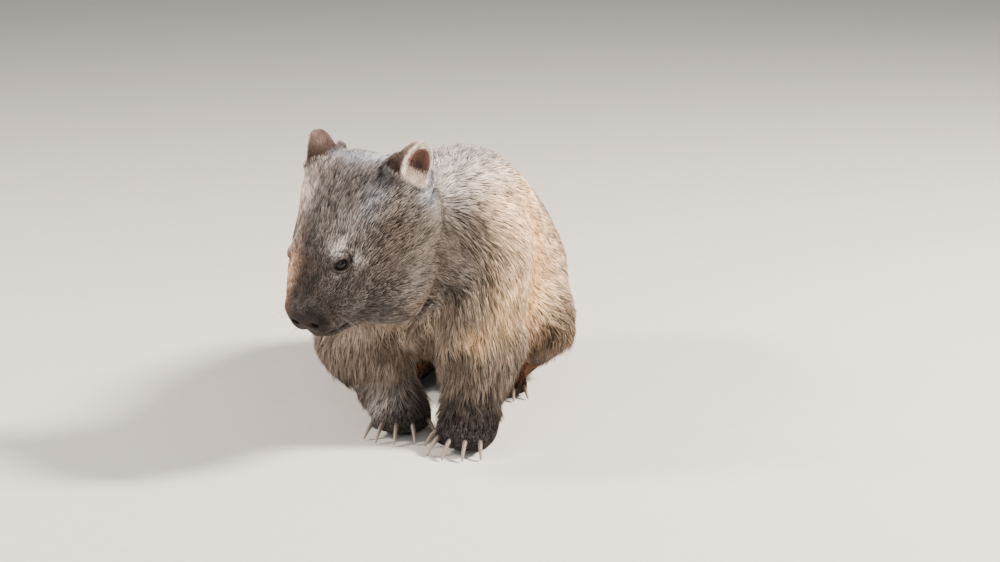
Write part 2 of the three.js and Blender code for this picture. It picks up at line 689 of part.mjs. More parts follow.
// A curved horn from a seat in the toe down to just above the ground.
function clawSolid(frame, toe, side, grow = 0) {
  const tip = v3(...mirrored(toe.tip, side));
  const direction = tip.clone().sub(v3(...mirrored(toe.root, side))).setZ(0).normalize();
  const steps = 4;
  const sides = 6;
  const points = [];
  const faces = [];
  for (let i = 0; i <= steps; i++) {
    const t = i / steps;
    const reach = -2 - grow + (toe.claw + toe.radius) * t;
    const centre = tip.clone().addScaledVector(direction, reach);
    centre.z = tip.z + 1 + 3 * Math.sin(Math.PI * t) - (tip.z - 0.8) * t ** 1.6;
    const radius = (3.7 + grow) * (1 - t) ** 0.7 + (i === steps ? 0.55 : 0.4);
    const across = v3(-direction.y, direction.x, 0);
    const slopeDown = Math.atan2((tip.z + 1) * 1.8 * t ** 0.8, toe.claw + toe.radius);
    const up = v3(0, 0, Math.cos(slopeDown)).addScaledVector(direction, Math.sin(slopeDown));
    for (let s = 0; s < sides; s++) {
      const angle = (2 * Math.PI * s) / sides;
      points.push(centre.clone().addScaledVector(across, radius * 0.85 * Math.cos(angle))
        .addScaledVector(up, radius * Math.sin(angle)));
    }
  }
  for (let i = 0; i < steps; i++)
    for (let s = 0; s < sides; s++) {
      const [a, b] = [i * sides + s, i * sides + ((s + 1) % sides)];
      faces.push([a, b, b + sides], [a, b + sides, a + sides]);
    }
  const last = steps * sides;
  for (let s = 1; s < sides - 1; s++) {
    faces.push([0, s + 1, s]);
    faces.push([last, last + s, last + s + 1]);
  }
  points.forEach((p) => p.applyMatrix4(frame));
  const solid = solidOf(points, faces);
  return solid.volume() < 0 ? solidOf(points, faces.map(([a, b, c]) => [a, c, b])) : solid;
}

const claws = [];
for (const side of [1, -1]) {
  const name = side > 0 ? "left" : "right";
  foreToes.forEach((toe, i) =>
    claws.push({ name: `claw_fore_${name}_${i + 1}`, host: `forepaw_${name}`, toe, side, frame: pawFrame(forelegs[name]) }));
  hindToes.forEach((toe, i) =>
    claws.push({ name: `claw_hind_${name}_${i + 1}`, host: `hindfoot_${name}`, toe, side, frame: pawFrame(hindlegs[name]) }));
}

// Materials

const material = (color, roughness) => new THREE.MeshStandardMaterial({ color, roughness, metalness: 0 });
const colours = {
  coat: 0x86715b, head: 0x7b6a5c, leg: 0x6b5846, ear: 0x8a6a58, nose: 0x2a2220, eye: 0x120c0a, claw: 0xa89880,
};

function colourOf(name) {
  if (name.startsWith("ear")) return colours.ear;
  if (name.startsWith("fore") || name.startsWith("hind")) return colours.leg;
  return { nose: colours.nose, head: colours.head }[name] ?? colours.coat;
}

const wombat = new THREE.Group();
wombat.name = "wombat";

// Where two folds of the skin touch at a point, each draws back a little into the solid.
function partPinches(points, faces) {
  const inward = new Map();
  for (const [a, b, c] of faces) {
    const n = points[c].clone().sub(points[a]).cross(points[b].clone().sub(points[a]));
    for (const v of [a, b, c]) inward.set(v, (inward.get(v) ?? v3(0, 0, 0)).add(n));
  }
  const places = new Map();
  for (const v of inward.keys()) {
    const place = points[v].toArray().map((x) => Math.round(x * 50)).join();
    places.set(place, [...(places.get(place) ?? []), v]);
  }
  for (const group of places.values())
    if (group.length > 1) for (const v of group) points[v].addScaledVector(inward.get(v).normalize(), shortestEdge);
}

function addNode(name, solid, mat) {
  const mesh = solid.getMesh();
  const points = Array.from({ length: mesh.numVert }, (_, v) =>
    v3(...mesh.vertProperties.slice(v * mesh.numProp, v * mesh.numProp + 3)));
  const faces = Array.from({ length: mesh.numTri }, (_, f) => [...mesh.triVerts.slice(3 * f, 3 * f + 3)]);
  const kept = thinned(points, faces, { shortest: shortestEdge });
  partPinches(points, kept);
  const geometry = new THREE.BufferGeometry().setFromPoints(kept.flat().map((v) => points[v]));
  geometry.translate(originShift.x, originShift.y, 0);
  geometry.computeVertexNormals();
  const node = new THREE.Mesh(geometry, mat);
  node.name = name;
  wombat.add(node);
}

const haired = /^(torso|rump|neck|foreleg|forepaw|hindleg|hindfoot)/;

order.forEach((name, i) => {
  const own = regions[name](-seam / 2);
  let solid = haired.test(name) ? locks.reduce((whole, tuft) => whole.add(tuft), skins[name]) : skins[name];
  if (own) solid = solid.intersect(own);
  for (const earlier of order.slice(0, i)) solid = solid.subtract(regions[earlier](seam / 2));
  for (const claw of claws)
    if (claw.host === name) solid = solid.subtract(clawSolid(claw.frame, claw.toe, claw.side, 0.3));
  if (/^(forepaw|hindfoot)/.test(name)) solid = solid.intersect(beyond([0, 0, 0], [0, 0, 1])); // flat soles
  if (name === "head") for (const side of [1, -1]) solid = solid.subtract(eyeBall(side, 0.3));
  addNode(name, largest(solid), material(colourOf(name), name === "nose" ? 0.4 : 0.95));
});
for (const side of [1, -1])
  addNode(side > 0 ? "eye_left" : "eye_right", eyeBall(side, 0), material(colours.eye, 0.08));
for (const claw of claws) addNode(claw.name, clawSolid(claw.frame, claw.toe, claw.side), material(colours.claw, 0.5));

export default wombat;
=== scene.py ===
# A bare-nosed wombat, life size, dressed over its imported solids: skin, coat, eyes, claws and whiskers.
# Metres, in the frame of the solids: the animal faces -Y and its left side is at +X.

import json
import math
import time

import bmesh
import bpy
import numpy as np
import openvdb
from mathutils import Matrix, Vector, kdtree

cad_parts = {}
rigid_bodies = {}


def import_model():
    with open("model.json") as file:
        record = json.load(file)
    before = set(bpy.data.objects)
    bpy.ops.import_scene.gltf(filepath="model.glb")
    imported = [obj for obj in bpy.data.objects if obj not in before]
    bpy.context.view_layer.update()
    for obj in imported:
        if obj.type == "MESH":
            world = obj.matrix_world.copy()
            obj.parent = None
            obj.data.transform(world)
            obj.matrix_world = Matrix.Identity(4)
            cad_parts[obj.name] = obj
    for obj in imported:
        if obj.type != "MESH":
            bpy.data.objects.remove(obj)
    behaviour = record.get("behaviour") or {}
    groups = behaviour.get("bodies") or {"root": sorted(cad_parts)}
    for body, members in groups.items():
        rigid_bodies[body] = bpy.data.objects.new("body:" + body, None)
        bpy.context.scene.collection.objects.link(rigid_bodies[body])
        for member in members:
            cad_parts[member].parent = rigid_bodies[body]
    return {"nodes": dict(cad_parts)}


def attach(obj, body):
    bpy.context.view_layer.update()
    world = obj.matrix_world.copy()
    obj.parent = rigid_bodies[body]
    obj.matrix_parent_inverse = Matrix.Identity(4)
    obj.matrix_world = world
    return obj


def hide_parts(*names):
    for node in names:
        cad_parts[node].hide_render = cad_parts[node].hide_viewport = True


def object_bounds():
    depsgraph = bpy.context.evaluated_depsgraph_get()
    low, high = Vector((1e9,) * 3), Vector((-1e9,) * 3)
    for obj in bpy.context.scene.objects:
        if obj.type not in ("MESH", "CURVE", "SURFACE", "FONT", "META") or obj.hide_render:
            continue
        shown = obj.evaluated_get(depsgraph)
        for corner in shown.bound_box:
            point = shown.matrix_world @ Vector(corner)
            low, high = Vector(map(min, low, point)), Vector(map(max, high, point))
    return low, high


for leftover in list(bpy.data.objects):  # the cube, lamp and camera that Blender opens with
    bpy.data.objects.remove(leftover)

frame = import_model()
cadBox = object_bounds()
draw = np.random.default_rng(20)
mm = 0.001
began = time.time()


def report(stage):
    print(f"{stage} ({time.time() - began:.0f} s)", flush=True)


# Small maths, on arrays of points
def unit(v):
    return v / np.maximum(np.linalg.norm(v, axis=-1, keepdims=True), 1e-9)


def rise(x, low, high):  # 0 up to low, 1 from high on, smooth between; low may be the larger
    t = np.clip((x - low) / (high - low), 0, 1)
    return t * t * (3 - 2 * t)


def between(a, b, t):
    return a + (b - a) * t


def along(a, b):
    return (a * b).sum(-1)


def ovalDistance(p, centre, half):
    half = np.array(half) * mm
    q = (p - np.array(centre) * mm) / half
    k0 = np.linalg.norm(q, axis=-1)
    k1 = np.linalg.norm(q / half, axis=-1)
    return k0 * (k0 - 1) / np.maximum(k1, 1e-6)


def barDistance(p, start, end, startRadius, endRadius):
    start, end = np.array(start) * mm, np.array(end) * mm
    run = end - start
    t = np.clip((p - start) @ run / (run @ run), 0, 1)
    away = np.linalg.norm(p - start - t[..., None] * run, axis=-1)
    return away - between(startRadius, endRadius, t) * mm


def merged(a, b, k):  # union, rounded over k metres
    h = np.maximum(k - np.abs(a - b), 0) / k
    return np.minimum(a, b) - h * h * k / 4


def carved(a, b, k):  # a with b taken out of it
    return -merged(-a, b, k)


# Head, eyes and ears: places in millimetres in the head's own axes, turns in degrees
headPose = {"origin": [-32.2, -214.2, 326], "right": 23, "down": 31}
eyePlace = {"x": 33, "y": -105, "z": -30, "radius": 8.5, "look": [0.8, -0.55, 0.22], "sunk": 2.2}
earPose = {"x": 58, "y": 2, "z": -4, "out": 25, "open": 72, "back": 46}
earCup = ([0, -13, 24.2], [15, 18.5, 26.8])


def turn(degrees, axis):
    return np.array(Matrix.Rotation(math.radians(degrees), 3, axis))


class Axes:  # a part's own axes: x to the animal's left, y back, z up
    def __init__(self, rotation, origin):
        self.rotation, self.origin = rotation, np.array(origin)

    def inward(self, p):
        return (p - self.origin) @ self.rotation

    def outward(self, p):
        return p @ self.rotation.T + self.origin

    def direction(self, v):
        return np.array(v) @ self.rotation.T


headAxes = Axes(
    turn(-headPose["right"], "Z") @ turn(headPose["down"], "X"),
    np.array(headPose["origin"]) * mm,
)


def earAxes(side):
    place = headAxes.outward(np.array([side * earPose["x"], earPose["y"], earPose["z"]]) * mm)
    lean = turn(-earPose["back"], "X") @ turn(side * earPose["out"], "Y")
    lean = lean @ turn(side * earPose["open"], "Z")
    return Axes(headAxes.rotation @ lean, place)


ears = {side: earAxes(side) for side in (1, -1)}


def eyeAxes(side):  # x across the eye towards the ear, y up along the lid, z out of the eye
    out = unit(np.array(eyePlace["look"]) * [side, 1, 1])
    across = unit(np.cross([0, 0, 1], out) * side)
    up = unit(np.cross(out, across) * side)
    centre = np.array([side * eyePlace["x"], eyePlace["y"], eyePlace["z"]]) - out * eyePlace["sunk"]
    return Axes(np.stack([across, up, out], axis=1), centre * mm)


eyes = {side: eyeAxes(side) for side in (1, -1)}


# The flesh of all the solids becomes one field of distances; sizes in voxels and millimetres
fieldGrid = {"voxel": 1.6, "margin": 12, "reach": 8, "closeSeams": 0.35}
voxel = fieldGrid["voxel"] * mm
fleshNodes = sorted(n for n in frame["nodes"] if not n.startswith(("claw", "eye")))
lowCell = np.floor((np.array(cadBox[0]) - fieldGrid["margin"] * mm) / voxel).astype(int)
highCell = np.ceil((np.array(cadBox[1]) + fieldGrid["margin"] * mm) / voxel).astype(int)


def scaled():
    return openvdb.createLinearTransform(voxelSize=voxel)


def cellCorner(cell):
    return tuple(int(c) for c in cell)


def meshArrays(mesh):
    points = np.empty(len(mesh.vertices) * 3, np.float32)
    mesh.vertices.foreach_get("co", points)
    mesh.calc_loop_triangles()
    triangles = np.empty(len(mesh.loop_triangles) * 3, np.int32)
    mesh.loop_triangles.foreach_get("vertices", triangles)
    return points.reshape(-1, 3), triangles.reshape(-1, 3)


def joinedFlesh():
    reach = fieldGrid["reach"]
    values = np.full(highCell - lowCell, reach * voxel, np.float32)
    for name in fleshNodes:
        points, triangles = meshArrays(frame["nodes"][name].data)
        level = openvdb.FloatGrid.createLevelSetFromPolygons(
            points, triangles=triangles.astype(np.uint32), transform=scaled(), halfWidth=reach)
        low = np.maximum(np.floor(points.min(0) / voxel).astype(int) - reach, lowCell)
        high = np.minimum(np.ceil(points.max(0) / voxel).astype(int) + reach, highCell)
        part = np.empty(high - low, np.float32)
        level.copyToArray(part, ijk=cellCorner(low))
        box = tuple(slice(a, b) for a, b in zip(low - lowCell, high - lowCell))
        values[box] = np.minimum(values[box], part - fieldGrid["closeSeams"] * mm)
    return values


def surfaceOf(values, level=0.0):
    grid = openvdb.FloatGrid(float(values.max()))
    grid.copyFromArray(values, ijk=cellCorner(lowCell), tolerance=0.0)
    grid.transform = scaled()
    return grid.convertToQuads(isovalue=level)


def distancesTo(points, quads):
    level = openvdb.FloatGrid.createLevelSetFromPolygons(
        points, quads=quads, transform=scaled(), halfWidth=fieldGrid["reach"] + 1)
    values = np.empty(highCell - lowCell, np.float32)
    level.copyToArray(values, ijk=cellCorner(lowCell))
    return values


def softened(values, passes):
    for _ in range(passes):
        for axis in range(3):
            before, after = np.roll(values, 1, axis), np.roll(values, -1, axis)
            values = values * 0.4 + (before + after) * 0.3
    return values


class Field:
    def __init__(self, values):
        self.values = values

    def at(self, p):
        g = p / voxel - lowCell
        g = np.clip(g, 0, np.array(self.values.shape) - 1.001)
        cell = g.astype(np.int64)
        f = g - cell
        total = 0
        for i in (0, 1):
            for j in (0, 1):
                for k in (0, 1):
                    weight = (
                        np.where(i, f[:, 0], 1 - f[:, 0])
                        * np.where(j, f[:, 1], 1 - f[:, 1])
                        * np.where(k, f[:, 2], 1 - f[:, 2])
                    )
                    total = total + weight * self.values[cell[:, 0] + i, cell[:, 1] + j, cell[:, 2] + k]
        return total

    def slope(self, p, step=2.5 * mm):
        parts = []
        for axis in range(3):
            shift = np.zeros(3)
            shift[axis] = step
            parts.append(self.at(p + shift) - self.at(p - shift))
        return unit(np.stack(parts, axis=-1))


def inHead(p):
    return headAxes.inward(p)


def mirrored(q):  # the head's right half laid over its left
    return np.stack([np.abs(q[:, 0]), q[:, 1], q[:, 2]], axis=1)


# How far a point belongs to a part of the body, from 0 to 1
def headness(p):
    q = inHead(p)
    return rise(q[:, 1], 44 * mm, 4 * mm) * rise(q[:, 2], -166 * mm, -142 * mm)


def faceness(p):  # towards the end of the muzzle
    return headness(p) * rise(inHead(p)[:, 1], -60 * mm, -130 * mm)


def earness(p):
    best = np.zeros(len(p))
    for axes in ears.values():
        e = axes.inward(p)
        inside = rise(e[:, 2], 0, 9 * mm) * rise(np.linalg.norm(e[:, :2], axis=1), 32 * mm, 27 * mm)
        best = np.maximum(best, inside * (e[:, 2] < 62 * mm))
    return best


def lowness(p):  # feet and toes
    return rise(p[:, 2], 48 * mm, 26 * mm)


def shaggyness(p):  # chest, forelegs, belly and hams
    front = rise(p[:, 1], 20 * mm, -50 * mm) * rise(p[:, 2], 225 * mm, 165 * mm)
    under = rise(p[:, 2], 125 * mm, 70 * mm)
    return np.maximum(front, under) * rise(p[:, 2], 38 * mm, 60 * mm) * (1 - headness(p))


def nearEye(p, low, high):  # 1 within low of the eye's centre, 0 past high, in millimetres
    away = np.linalg.norm(mirrored(inHead(p)) - eyes[1].origin, axis=1)
    return rise(away, high * mm, low * mm)


def coatDepth(p):  # how far the skin lies under the outline of the coat
    depth = between(7.5, 3.2, headness(p))
    depth = between(depth, 4.2, shaggyness(p))
    depth = between(depth, 2.2, faceness(p))
    depth = between(depth, 1.6, lowness(p))
    depth = between(depth, 0.3, earness(p))
    q = inHead(p)
    depth = between(depth, 0.2, rise(ovalDistance(q, [0, -152, -72], [30, 16, 24]), 5 * mm, 0))
    depth = between(depth, 1.2, nearEye(p, 14, 24))
    return depth * mm


# Nose, lips and lids, in millimetres in the head's own axes
face = {
    "nosePad": ([0, -147, -67], [26, 13, 18]),
    "padRim": ([5, -160, -53], [21, -150, -73]),
    "groove": ([0, -165, -62], [0, -166, -84], 0.9, 1.3),
    "nostril": [
        ([8, -163, -75], [15, -157, -76], 2.6, 3.6),
        ([15, -157, -76], [22, -147, -70], 3.4, 1.8),
    ],
    "nostrilDeep": ([13, -158, -76], [9, -140, -70], 3.0, 2.2),
    "mouth": [
        [0, -163, -83], [0, -160, -90], [13, -152, -95],
        [27, -133, -97], [37, -108, -93], [41, -96, -88],
    ],
    "lowerLip": [[0, -150, -97], [14, -142, -99], [28, -122, -101]],
    "lidOpening": {"wide": 6.4, "high": 5.0, "lower": 4.6, "tilt": 20},
    "lidThickness": 1.4,
}


def lidOpening(e):  # a rounded almond in the plane of the lids, negative inside
    lid = face["lidOpening"]
    tilt = math.radians(lid["tilt"])
    u = (e[:, 0] * math.cos(tilt) + e[:, 1] * math.sin(tilt)) / (lid["wide"] * mm)
    v = e[:, 1] * math.cos(tilt) - e[:, 0] * math.sin(tilt)
    v = np.where(v > 0, v / (lid["high"] * mm), v / (lid["lower"] * mm))
    return (np.sqrt(u * u + v * v) - 1) * lid["lower"] * mm


def withLids(d, q):
    radius = eyePlace["radius"]
    e = eyes[1].inward(q)
    fromEye = np.linalg.norm(e, axis=1)
    opening = np.where(e[:, 2] > 0, lidOpening(e), 1)
    socket = fromEye - (radius + 6) * mm
    crease = np.abs(fromEye - (radius + 5.4) * mm) - 0.5 * mm
    d = carved(d, np.maximum(socket, crease), 3 * mm)
    d = merged(d, fromEye - (radius + face["lidThickness"]) * mm, 3.2 * mm)
    for reach, lift, size in ((6.6, 7.6, 1.5), (9.2, 5.5, 1.1)):  # two folds over the eye
        above = e[:, 1] - (lift + 0.25 * e[:, 0] / mm) * mm
        fold = np.hypot(above, fromEye - (radius + 1.5) * mm) - size * mm
        fold = np.maximum(fold, np.abs(e[:, 0]) - reach * mm)
        d = merged(d, np.where(e[:, 2] > 0, fold, 1), 1.8 * mm)
    return carved(d, np.maximum(opening, (radius - 1.2) * mm - fromEye), 1.0 * mm)


def sculpted(d, p):
    q = inHead(p)
    near = (q[:, 1] < -70 * mm) & (q[:, 2] > -130 * mm) & (q[:, 2] < 20 * mm)
    if not near.any():
        return d
    out = np.array(d, dtype=np.float64)
    s = mirrored(q[near])
    w = out[near]
    w = merged(w, ovalDistance(s, *face["nosePad"]), 9 * mm)
    w = merged(w, barDistance(s, *face["padRim"], 2.0, 2.8), 3.5 * mm)
    for low, high in zip(face["lowerLip"], face["lowerLip"][1:]):
        w = merged(w, barDistance(s, low, high, 4.2, 4.2), 5 * mm)
    for low, high in zip(face["mouth"], face["mouth"][1:]):
        w = carved(w, barDistance(s, low, high, 1.3, 1.3), 2.2 * mm)
    w = carved(w, barDistance(s, *face["groove"]), 2.4 * mm)
    for bar in face["nostril"]:
        w = carved(w, barDistance(s, *bar), 2.0 * mm)
    w = carved(w, barDistance(s, *face["nostrilDeep"]), 1.6 * mm)
    w = withLids(w, s)
    out[near] = w
    return out


# Folds of the hide under the cheek, at the shoulder and on the haunch, in millimetres
folds = [
    [[62, -198, 214], [48, -200, 184], [26, -190, 160], [2, -164, 142], [-26, -136, 122]],
    [[64, -174, 184], [50, -164, 150], [30, -148, 122]],
    [[140, 46, 112], [124, 30, 88], [104, 26, 66]],
]
foldLook = {"radius": 13, "soft": 14}


def folded(d, p):
    radius = foldLook["radius"]
    for run in folds:
        for low, high in zip(run, run[1:]):
            d = carved(d, barDistance(p, low, high, radius, radius), foldLook["soft"] * mm)
    return d


def cellPoints(mask):
    return (np.argwhere(mask) + lowCell) * voxel


def makeField():
    values = distancesTo(*surfaceOf(joinedFlesh()))
    report("flesh joined")
    reach = fieldGrid["reach"] * voxel
    near = np.abs(values) < reach * 0.99
    places = cellPoints(near)
    smooth = softened(values, 3)
    smoother = softened(smooth, 4)
    soft = between(smoother[near], smooth[near], headness(places))
    distance = between(soft, values[near] * 0.4 + smooth[near] * 0.6, earness(places))
    values = np.where(values > 0, values + 7 * mm, values - 1 * mm).astype(np.float32)
    values[near] = folded(distance + coatDepth(places), places)
    bare = values.copy()
    values[near] = sculpted(values[near], places)
    return Field(bare), Field(values)


bareField, skinField = makeField()
report("skin field made")


# The skin is fine on the face and coarser where the coat hides it
skinMesh = {"keep": 0.20, "finerNoseWithin": 46, "finerEyeWithin": 21}


def newObject(name, mesh):
    made = bpy.data.objects.new(name, mesh)
    bpy.context.scene.collection.objects.link(made)
    return made


def meshFrom(name, points, corners, sizes):
    mesh = bpy.data.meshes.new(name)
    mesh.vertices.add(len(points))
    mesh.vertices.foreach_set("co", np.asarray(points, np.float32).ravel())
    mesh.loops.add(len(corners))
    mesh.loops.foreach_set("vertex_index", np.asarray(corners, np.int32))
    mesh.polygons.add(len(sizes))
    starts = np.concatenate([[0], np.cumsum(sizes)[:-1]])
    mesh.polygons.foreach_set("loop_start", starts.astype(np.int32))
    mesh.update(calc_edges=True)
    mesh.shade_smooth()
    return mesh


def setAttribute(mesh, name, values):
    vector = np.ndim(values) == 2
    kind = "FLOAT_VECTOR" if vector else "FLOAT"
    made = mesh.attributes.new(name, kind, "POINT")
    made.data.foreach_set("vector" if vector else "value", np.asarray(values, np.float32).ravel())


def sharpFace(p):  # the muzzle's end and the eyes, where the skin shows bare
    q = inHead(p)
    nose = np.linalg.norm(q - np.array([0, -152, -78]) * mm, axis=1) < skinMesh["finerNoseWithin"] * mm
    return nose | (nearEye(p, skinMesh["finerEyeWithin"], skinMesh["finerEyeWithin"] + 0.1) > 0.5)


def onSkin(p, passes=4):
    for _ in range(passes):
        d = sculpted(bareField.at(p), p)
        step = 0.35 * mm
        slope = []
        for axis in range(3):
            shift = np.zeros(3)
            shift[axis] = step
            high, low = p + shift, p - shift
            change = sculpted(bareField.at(high), high) - sculpted(bareField.at(low), low)
            slope.append(change / (2 * step))
        slope = np.stack(slope, axis=-1)
        move = slope * (d / np.maximum((slope * slope).sum(-1), 0.25))[:, None]
        size = np.linalg.norm(move, axis=1, keepdims=True)
        p = p - move * np.minimum(1, 0.5 * mm / np.maximum(size, 1e-9))
    return p


def makeSkin():
    points, quads = surfaceOf(skinField.values)
    points[:, 2] = np.maximum(points[:, 2], 0.8 * mm)
    mesh = meshFrom("skinRough", points, quads[:, ::-1].ravel(), np.full(len(quads), 4))
    rough = newObject("skinRough", mesh)
    coarse = rough.vertex_groups.new(name="coarse")
    head = headness(points) * rise(inHead(points)[:, 1], -20 * mm, -60 * mm)
    weight = np.round(np.clip(1 - head - earness(points), 0.02, 1), 1)
    for level in np.unique(weight):
        coarse.add(np.where(weight == level)[0].tolist(), float(level), "REPLACE")
    thin = rough.modifiers.new("thin", "DECIMATE")
    thin.ratio = skinMesh["keep"]
    thin.vertex_group = "coarse"
    mesh = bpy.data.meshes.new_from_object(rough.evaluated_get(bpy.context.evaluated_depsgraph_get()))
    bpy.data.objects.remove(rough)
    report("skin thinned")
    shape = bmesh.new()
    shape.from_mesh(mesh)
    places = np.array([v.co for v in shape.verts])
    fine = sharpFace(places)
    shape.verts.ensure_lookup_table()
    edges = [e for e in shape.edges if fine[e.verts[0].index] and fine[e.verts[1].index]]
    bmesh.ops.subdivide_edges(shape, edges=edges, cuts=1, use_grid_fill=True)
    bmesh.ops.triangulate(shape, faces=shape.faces[:])
    shape.to_mesh(mesh)
    shape.free()
    places, _ = meshArrays(mesh)
    places = places.astype(np.float64)
    fine = sharpFace(places)
    places[fine] = onSkin(places[fine])
    mesh.vertices.foreach_set("co", places.astype(np.float32).ravel())
    mesh.name = "skin"
    mesh.shade_smooth()
    skin = newObject("skin", mesh)
    bpy.context.view_layer.objects.active = skin
    skin.select_set(True)
    bpy.ops.object.mode_set(mode="EDIT")
    bpy.ops.mesh.select_all(action="SELECT")
    bpy.ops.uv.smart_project(angle_limit=math.radians(66), island_margin=0.002)
    bpy.ops.object.mode_set(mode="OBJECT")
    mesh.uv_layers.active.name = "OFBake"
    return skin


def colour(red, green, blue):  # from the eye's scale to the light's
    c = np.array([red, green, blue]) / 255
    return np.where(c <= 0.04045, c / 12.92, ((c + 0.055) / 1.055) ** 2.4)


palette = {
    "flank": colour(236, 208, 176),
    # painted sunlight: the golden colour of sunlit fur
    "gold": colour(246, 204, 150),
    "back": colour(168, 163, 166),
    "shoulder": colour(100, 92, 86),
    "rump": colour(134, 112, 96),
    "haunch": colour(102, 88, 80),
    "belly": colour(146, 120, 96),
    "chest": colour(160, 144, 130),
    "leg": colour(122, 110, 100),
    "shin": colour(72, 66, 63),
    "paw": colour(54, 50, 51),
    "crown": colour(144, 151, 164),
    "mottle": colour(78, 70, 68),
    "face": colour(104, 98, 95),
    "cheek": colour(60, 52, 48),
    "lowCheek": colour(56, 51, 48),
    "jaw": colour(72, 58, 48),
    "muzzleTop": colour(90, 76, 69),
    "muzzle": colour(36, 30, 29),
    "bare": colour(27, 22, 21),
    "lid": colour(24, 16, 15),
    "brow": colour(214, 209, 202),
    "earInside": colour(112, 84, 76),
    "earBack": colour(122, 102, 96),
    "earRim": colour(222, 212, 198),
    # dark fur, and painted shade in creases and under the body
    "dark": colour(58, 46, 40),
    "rust": colour(204, 140, 96),
    "sunlit": colour(226, 206, 196),
    "sunny": colour(224, 180, 150),
    # painted skylight, pale and cool
    "paintedSkylightLeg": colour(186, 178, 172),
}

# Soft spots: middle and half widths in millimetres, colour and strength
bodySpots = [
    ([61, -207, 287], [34, 40, 40], "shoulder", 0.8),
    ([18, -23, 322], [70, 110, 26], "back", 0.9),
    # painted sunlight, next five spots: pale flank colour and golden patches where the sun falls on the
    # left flank, its lower front and the haunch
    ([118, -60, 220], [40, 70, 60], "flank", 1.0),
    ([118, 8, 220], [26, 38, 90], "gold", 1.1),
    ([104, 3, 130], [22, 22, 40], "gold", 0.9),
    ([110, -127, 173], [18, 30, 30], "gold", 0.5),
    ([119, -118, 195], [16, 30, 24], "flank", 0.9),
    # painted skylight: the right foreleg lit pale from the left
    ([-41, -118, 54], [22, 28, 32], "paintedSkylightLeg", 0.8),
    ([139, 55, 113], [26, 50, 40], "haunch", 0.9),
    # painted shade: the band of shadow down the fold of the left haunch
    ([128, 42, 96], [22, 16, 18], "dark", 0.8),
    ([108, 32, 72], [22, 18, 18], "dark", 0.85),
    ([84, 46, 34], [22, 22, 18], "dark", 0.85),
    # painted sunlight: a golden patch on the left shoulder
    ([80, -150, 146], [16, 20, 14], "gold", 0.7),
    # painted shade in the crease under the cheek and at the shoulder
    ([60, -176, 186], [13, 16, 26], "dark", 0.85),
    ([50, -166, 152], [13, 16, 20], "dark", 0.85),
    ([28, -152, 126], [15, 16, 16], "dark", 0.8),
    ([6, -168, 144], [18, 20, 16], "dark", 0.8),
    ([-24, -140, 124], [20, 20, 14], "dark", 0.6),
    # painted shade between the forelegs, over the darker belly
    ([14, -100, 95], [20, 45, 50], "dark", 0.6),
    # painted shade low on the left hind leg, behind the foreleg
    ([89, 43, 49], [36, 40, 24], "dark", 0.5),
    ([62, 128, 34], [36, 60, 20], "rust", 0.8),
    ([-72, 117, 34], [36, 60, 20], "rust", 0.6),
]
headSpots = [  # mirrored from side to side
    ([0, 14, 18], [70, 24, 14], "crown", 1.0),
    ([24, -18, 18], [30, 17, 16], "mottle", 0.6),
    ([42, -48, 4], [14, 34, 16], "crown", 0.5),
    ([66, -50, -34], [26, 38, 34], "cheek", 0.9),
    ([60, -92, -70], [24, 28, 28], "lowCheek", 0.9),
    ([42, -118, -52], [20, 22, 20], "lowCheek", 0.8),
    ([72, -52, -124], [22, 50, 20], "jaw", 0.8),
    ([84, -10, -90], [16, 30, 40], "jaw", 0.7),
    ([64, -72, -50], [28, 40, 40], "cheek", 0.6),
    ([84, 4, -14], [12, 16, 16], "crown", 0.8),
    ([0, -128, -27], [24, 30, 16], "muzzleTop", 0.8),
    ([18, -146, -70], [30, 30, 34], "muzzle", 1.15),
    ([38, -101, -15], [12, 10, 4.6], "brow", 1.1),
    ([48, -97, -32], [4, 6, 7], "brow", 0.7),
]
sunSpots = [  # on the head's right alone
    ([-24, -126, -34], [12, 34, 34], "sunny", 0.75),
    ([-52, -44, 2], [22, 46, 26], "sunlit", 1.1),
]

mottling = {"wide": 0.20, "fine": 0.18}  # how far the colour wanders, by size of patch


def spotted(c, p, spots):
    for middle, half, name, strength in spots:
        r = (p - np.array(middle) * mm) / (np.array(half) * mm)
        c = between(c, palette[name], (strength * np.exp(-1.1 * (r * r).sum(-1)))[:, None])
    return c


def lidness(s):  # the dark bare rim of the eye, drawn out towards the ear
    e = eyes[1].inward(s)
    corner = np.hypot(e[:, 1] - 0.25 * (e[:, 0] - 9 * mm), e[:, 2] - 6 * mm)
    corner = corner + np.abs(e[:, 0] - 10 * mm) * 0.55
    around = np.linalg.norm((e - [0, 0, 6 * mm]) / [1.2, 0.92, 1.2], axis=1)
    return np.maximum(rise(around, 8.8 * mm, 6.8 * mm), rise(corner, 5.4 * mm, 3.6 * mm))


def bareness(p):  # nose pad, lips and lids
    s = mirrored(inHead(p))
    ragged = waves(p, 0.006, 31)[:, 0] * 1.6 * mm
    nose = rise(ovalDistance(s, [0, -157, -70], [19, 12, 12]) + ragged, 4 * mm, -2 * mm)
    lips = np.full(len(p), 1.0)
    for low, high in zip(face["mouth"][:-1], face["mouth"][1:-1]):
        lips = np.minimum(lips, barDistance(s, low, high, 0, 0))
    return np.maximum.reduce([nose, rise(lips, 4.5 * mm, 2.5 * mm), lidness(s)])


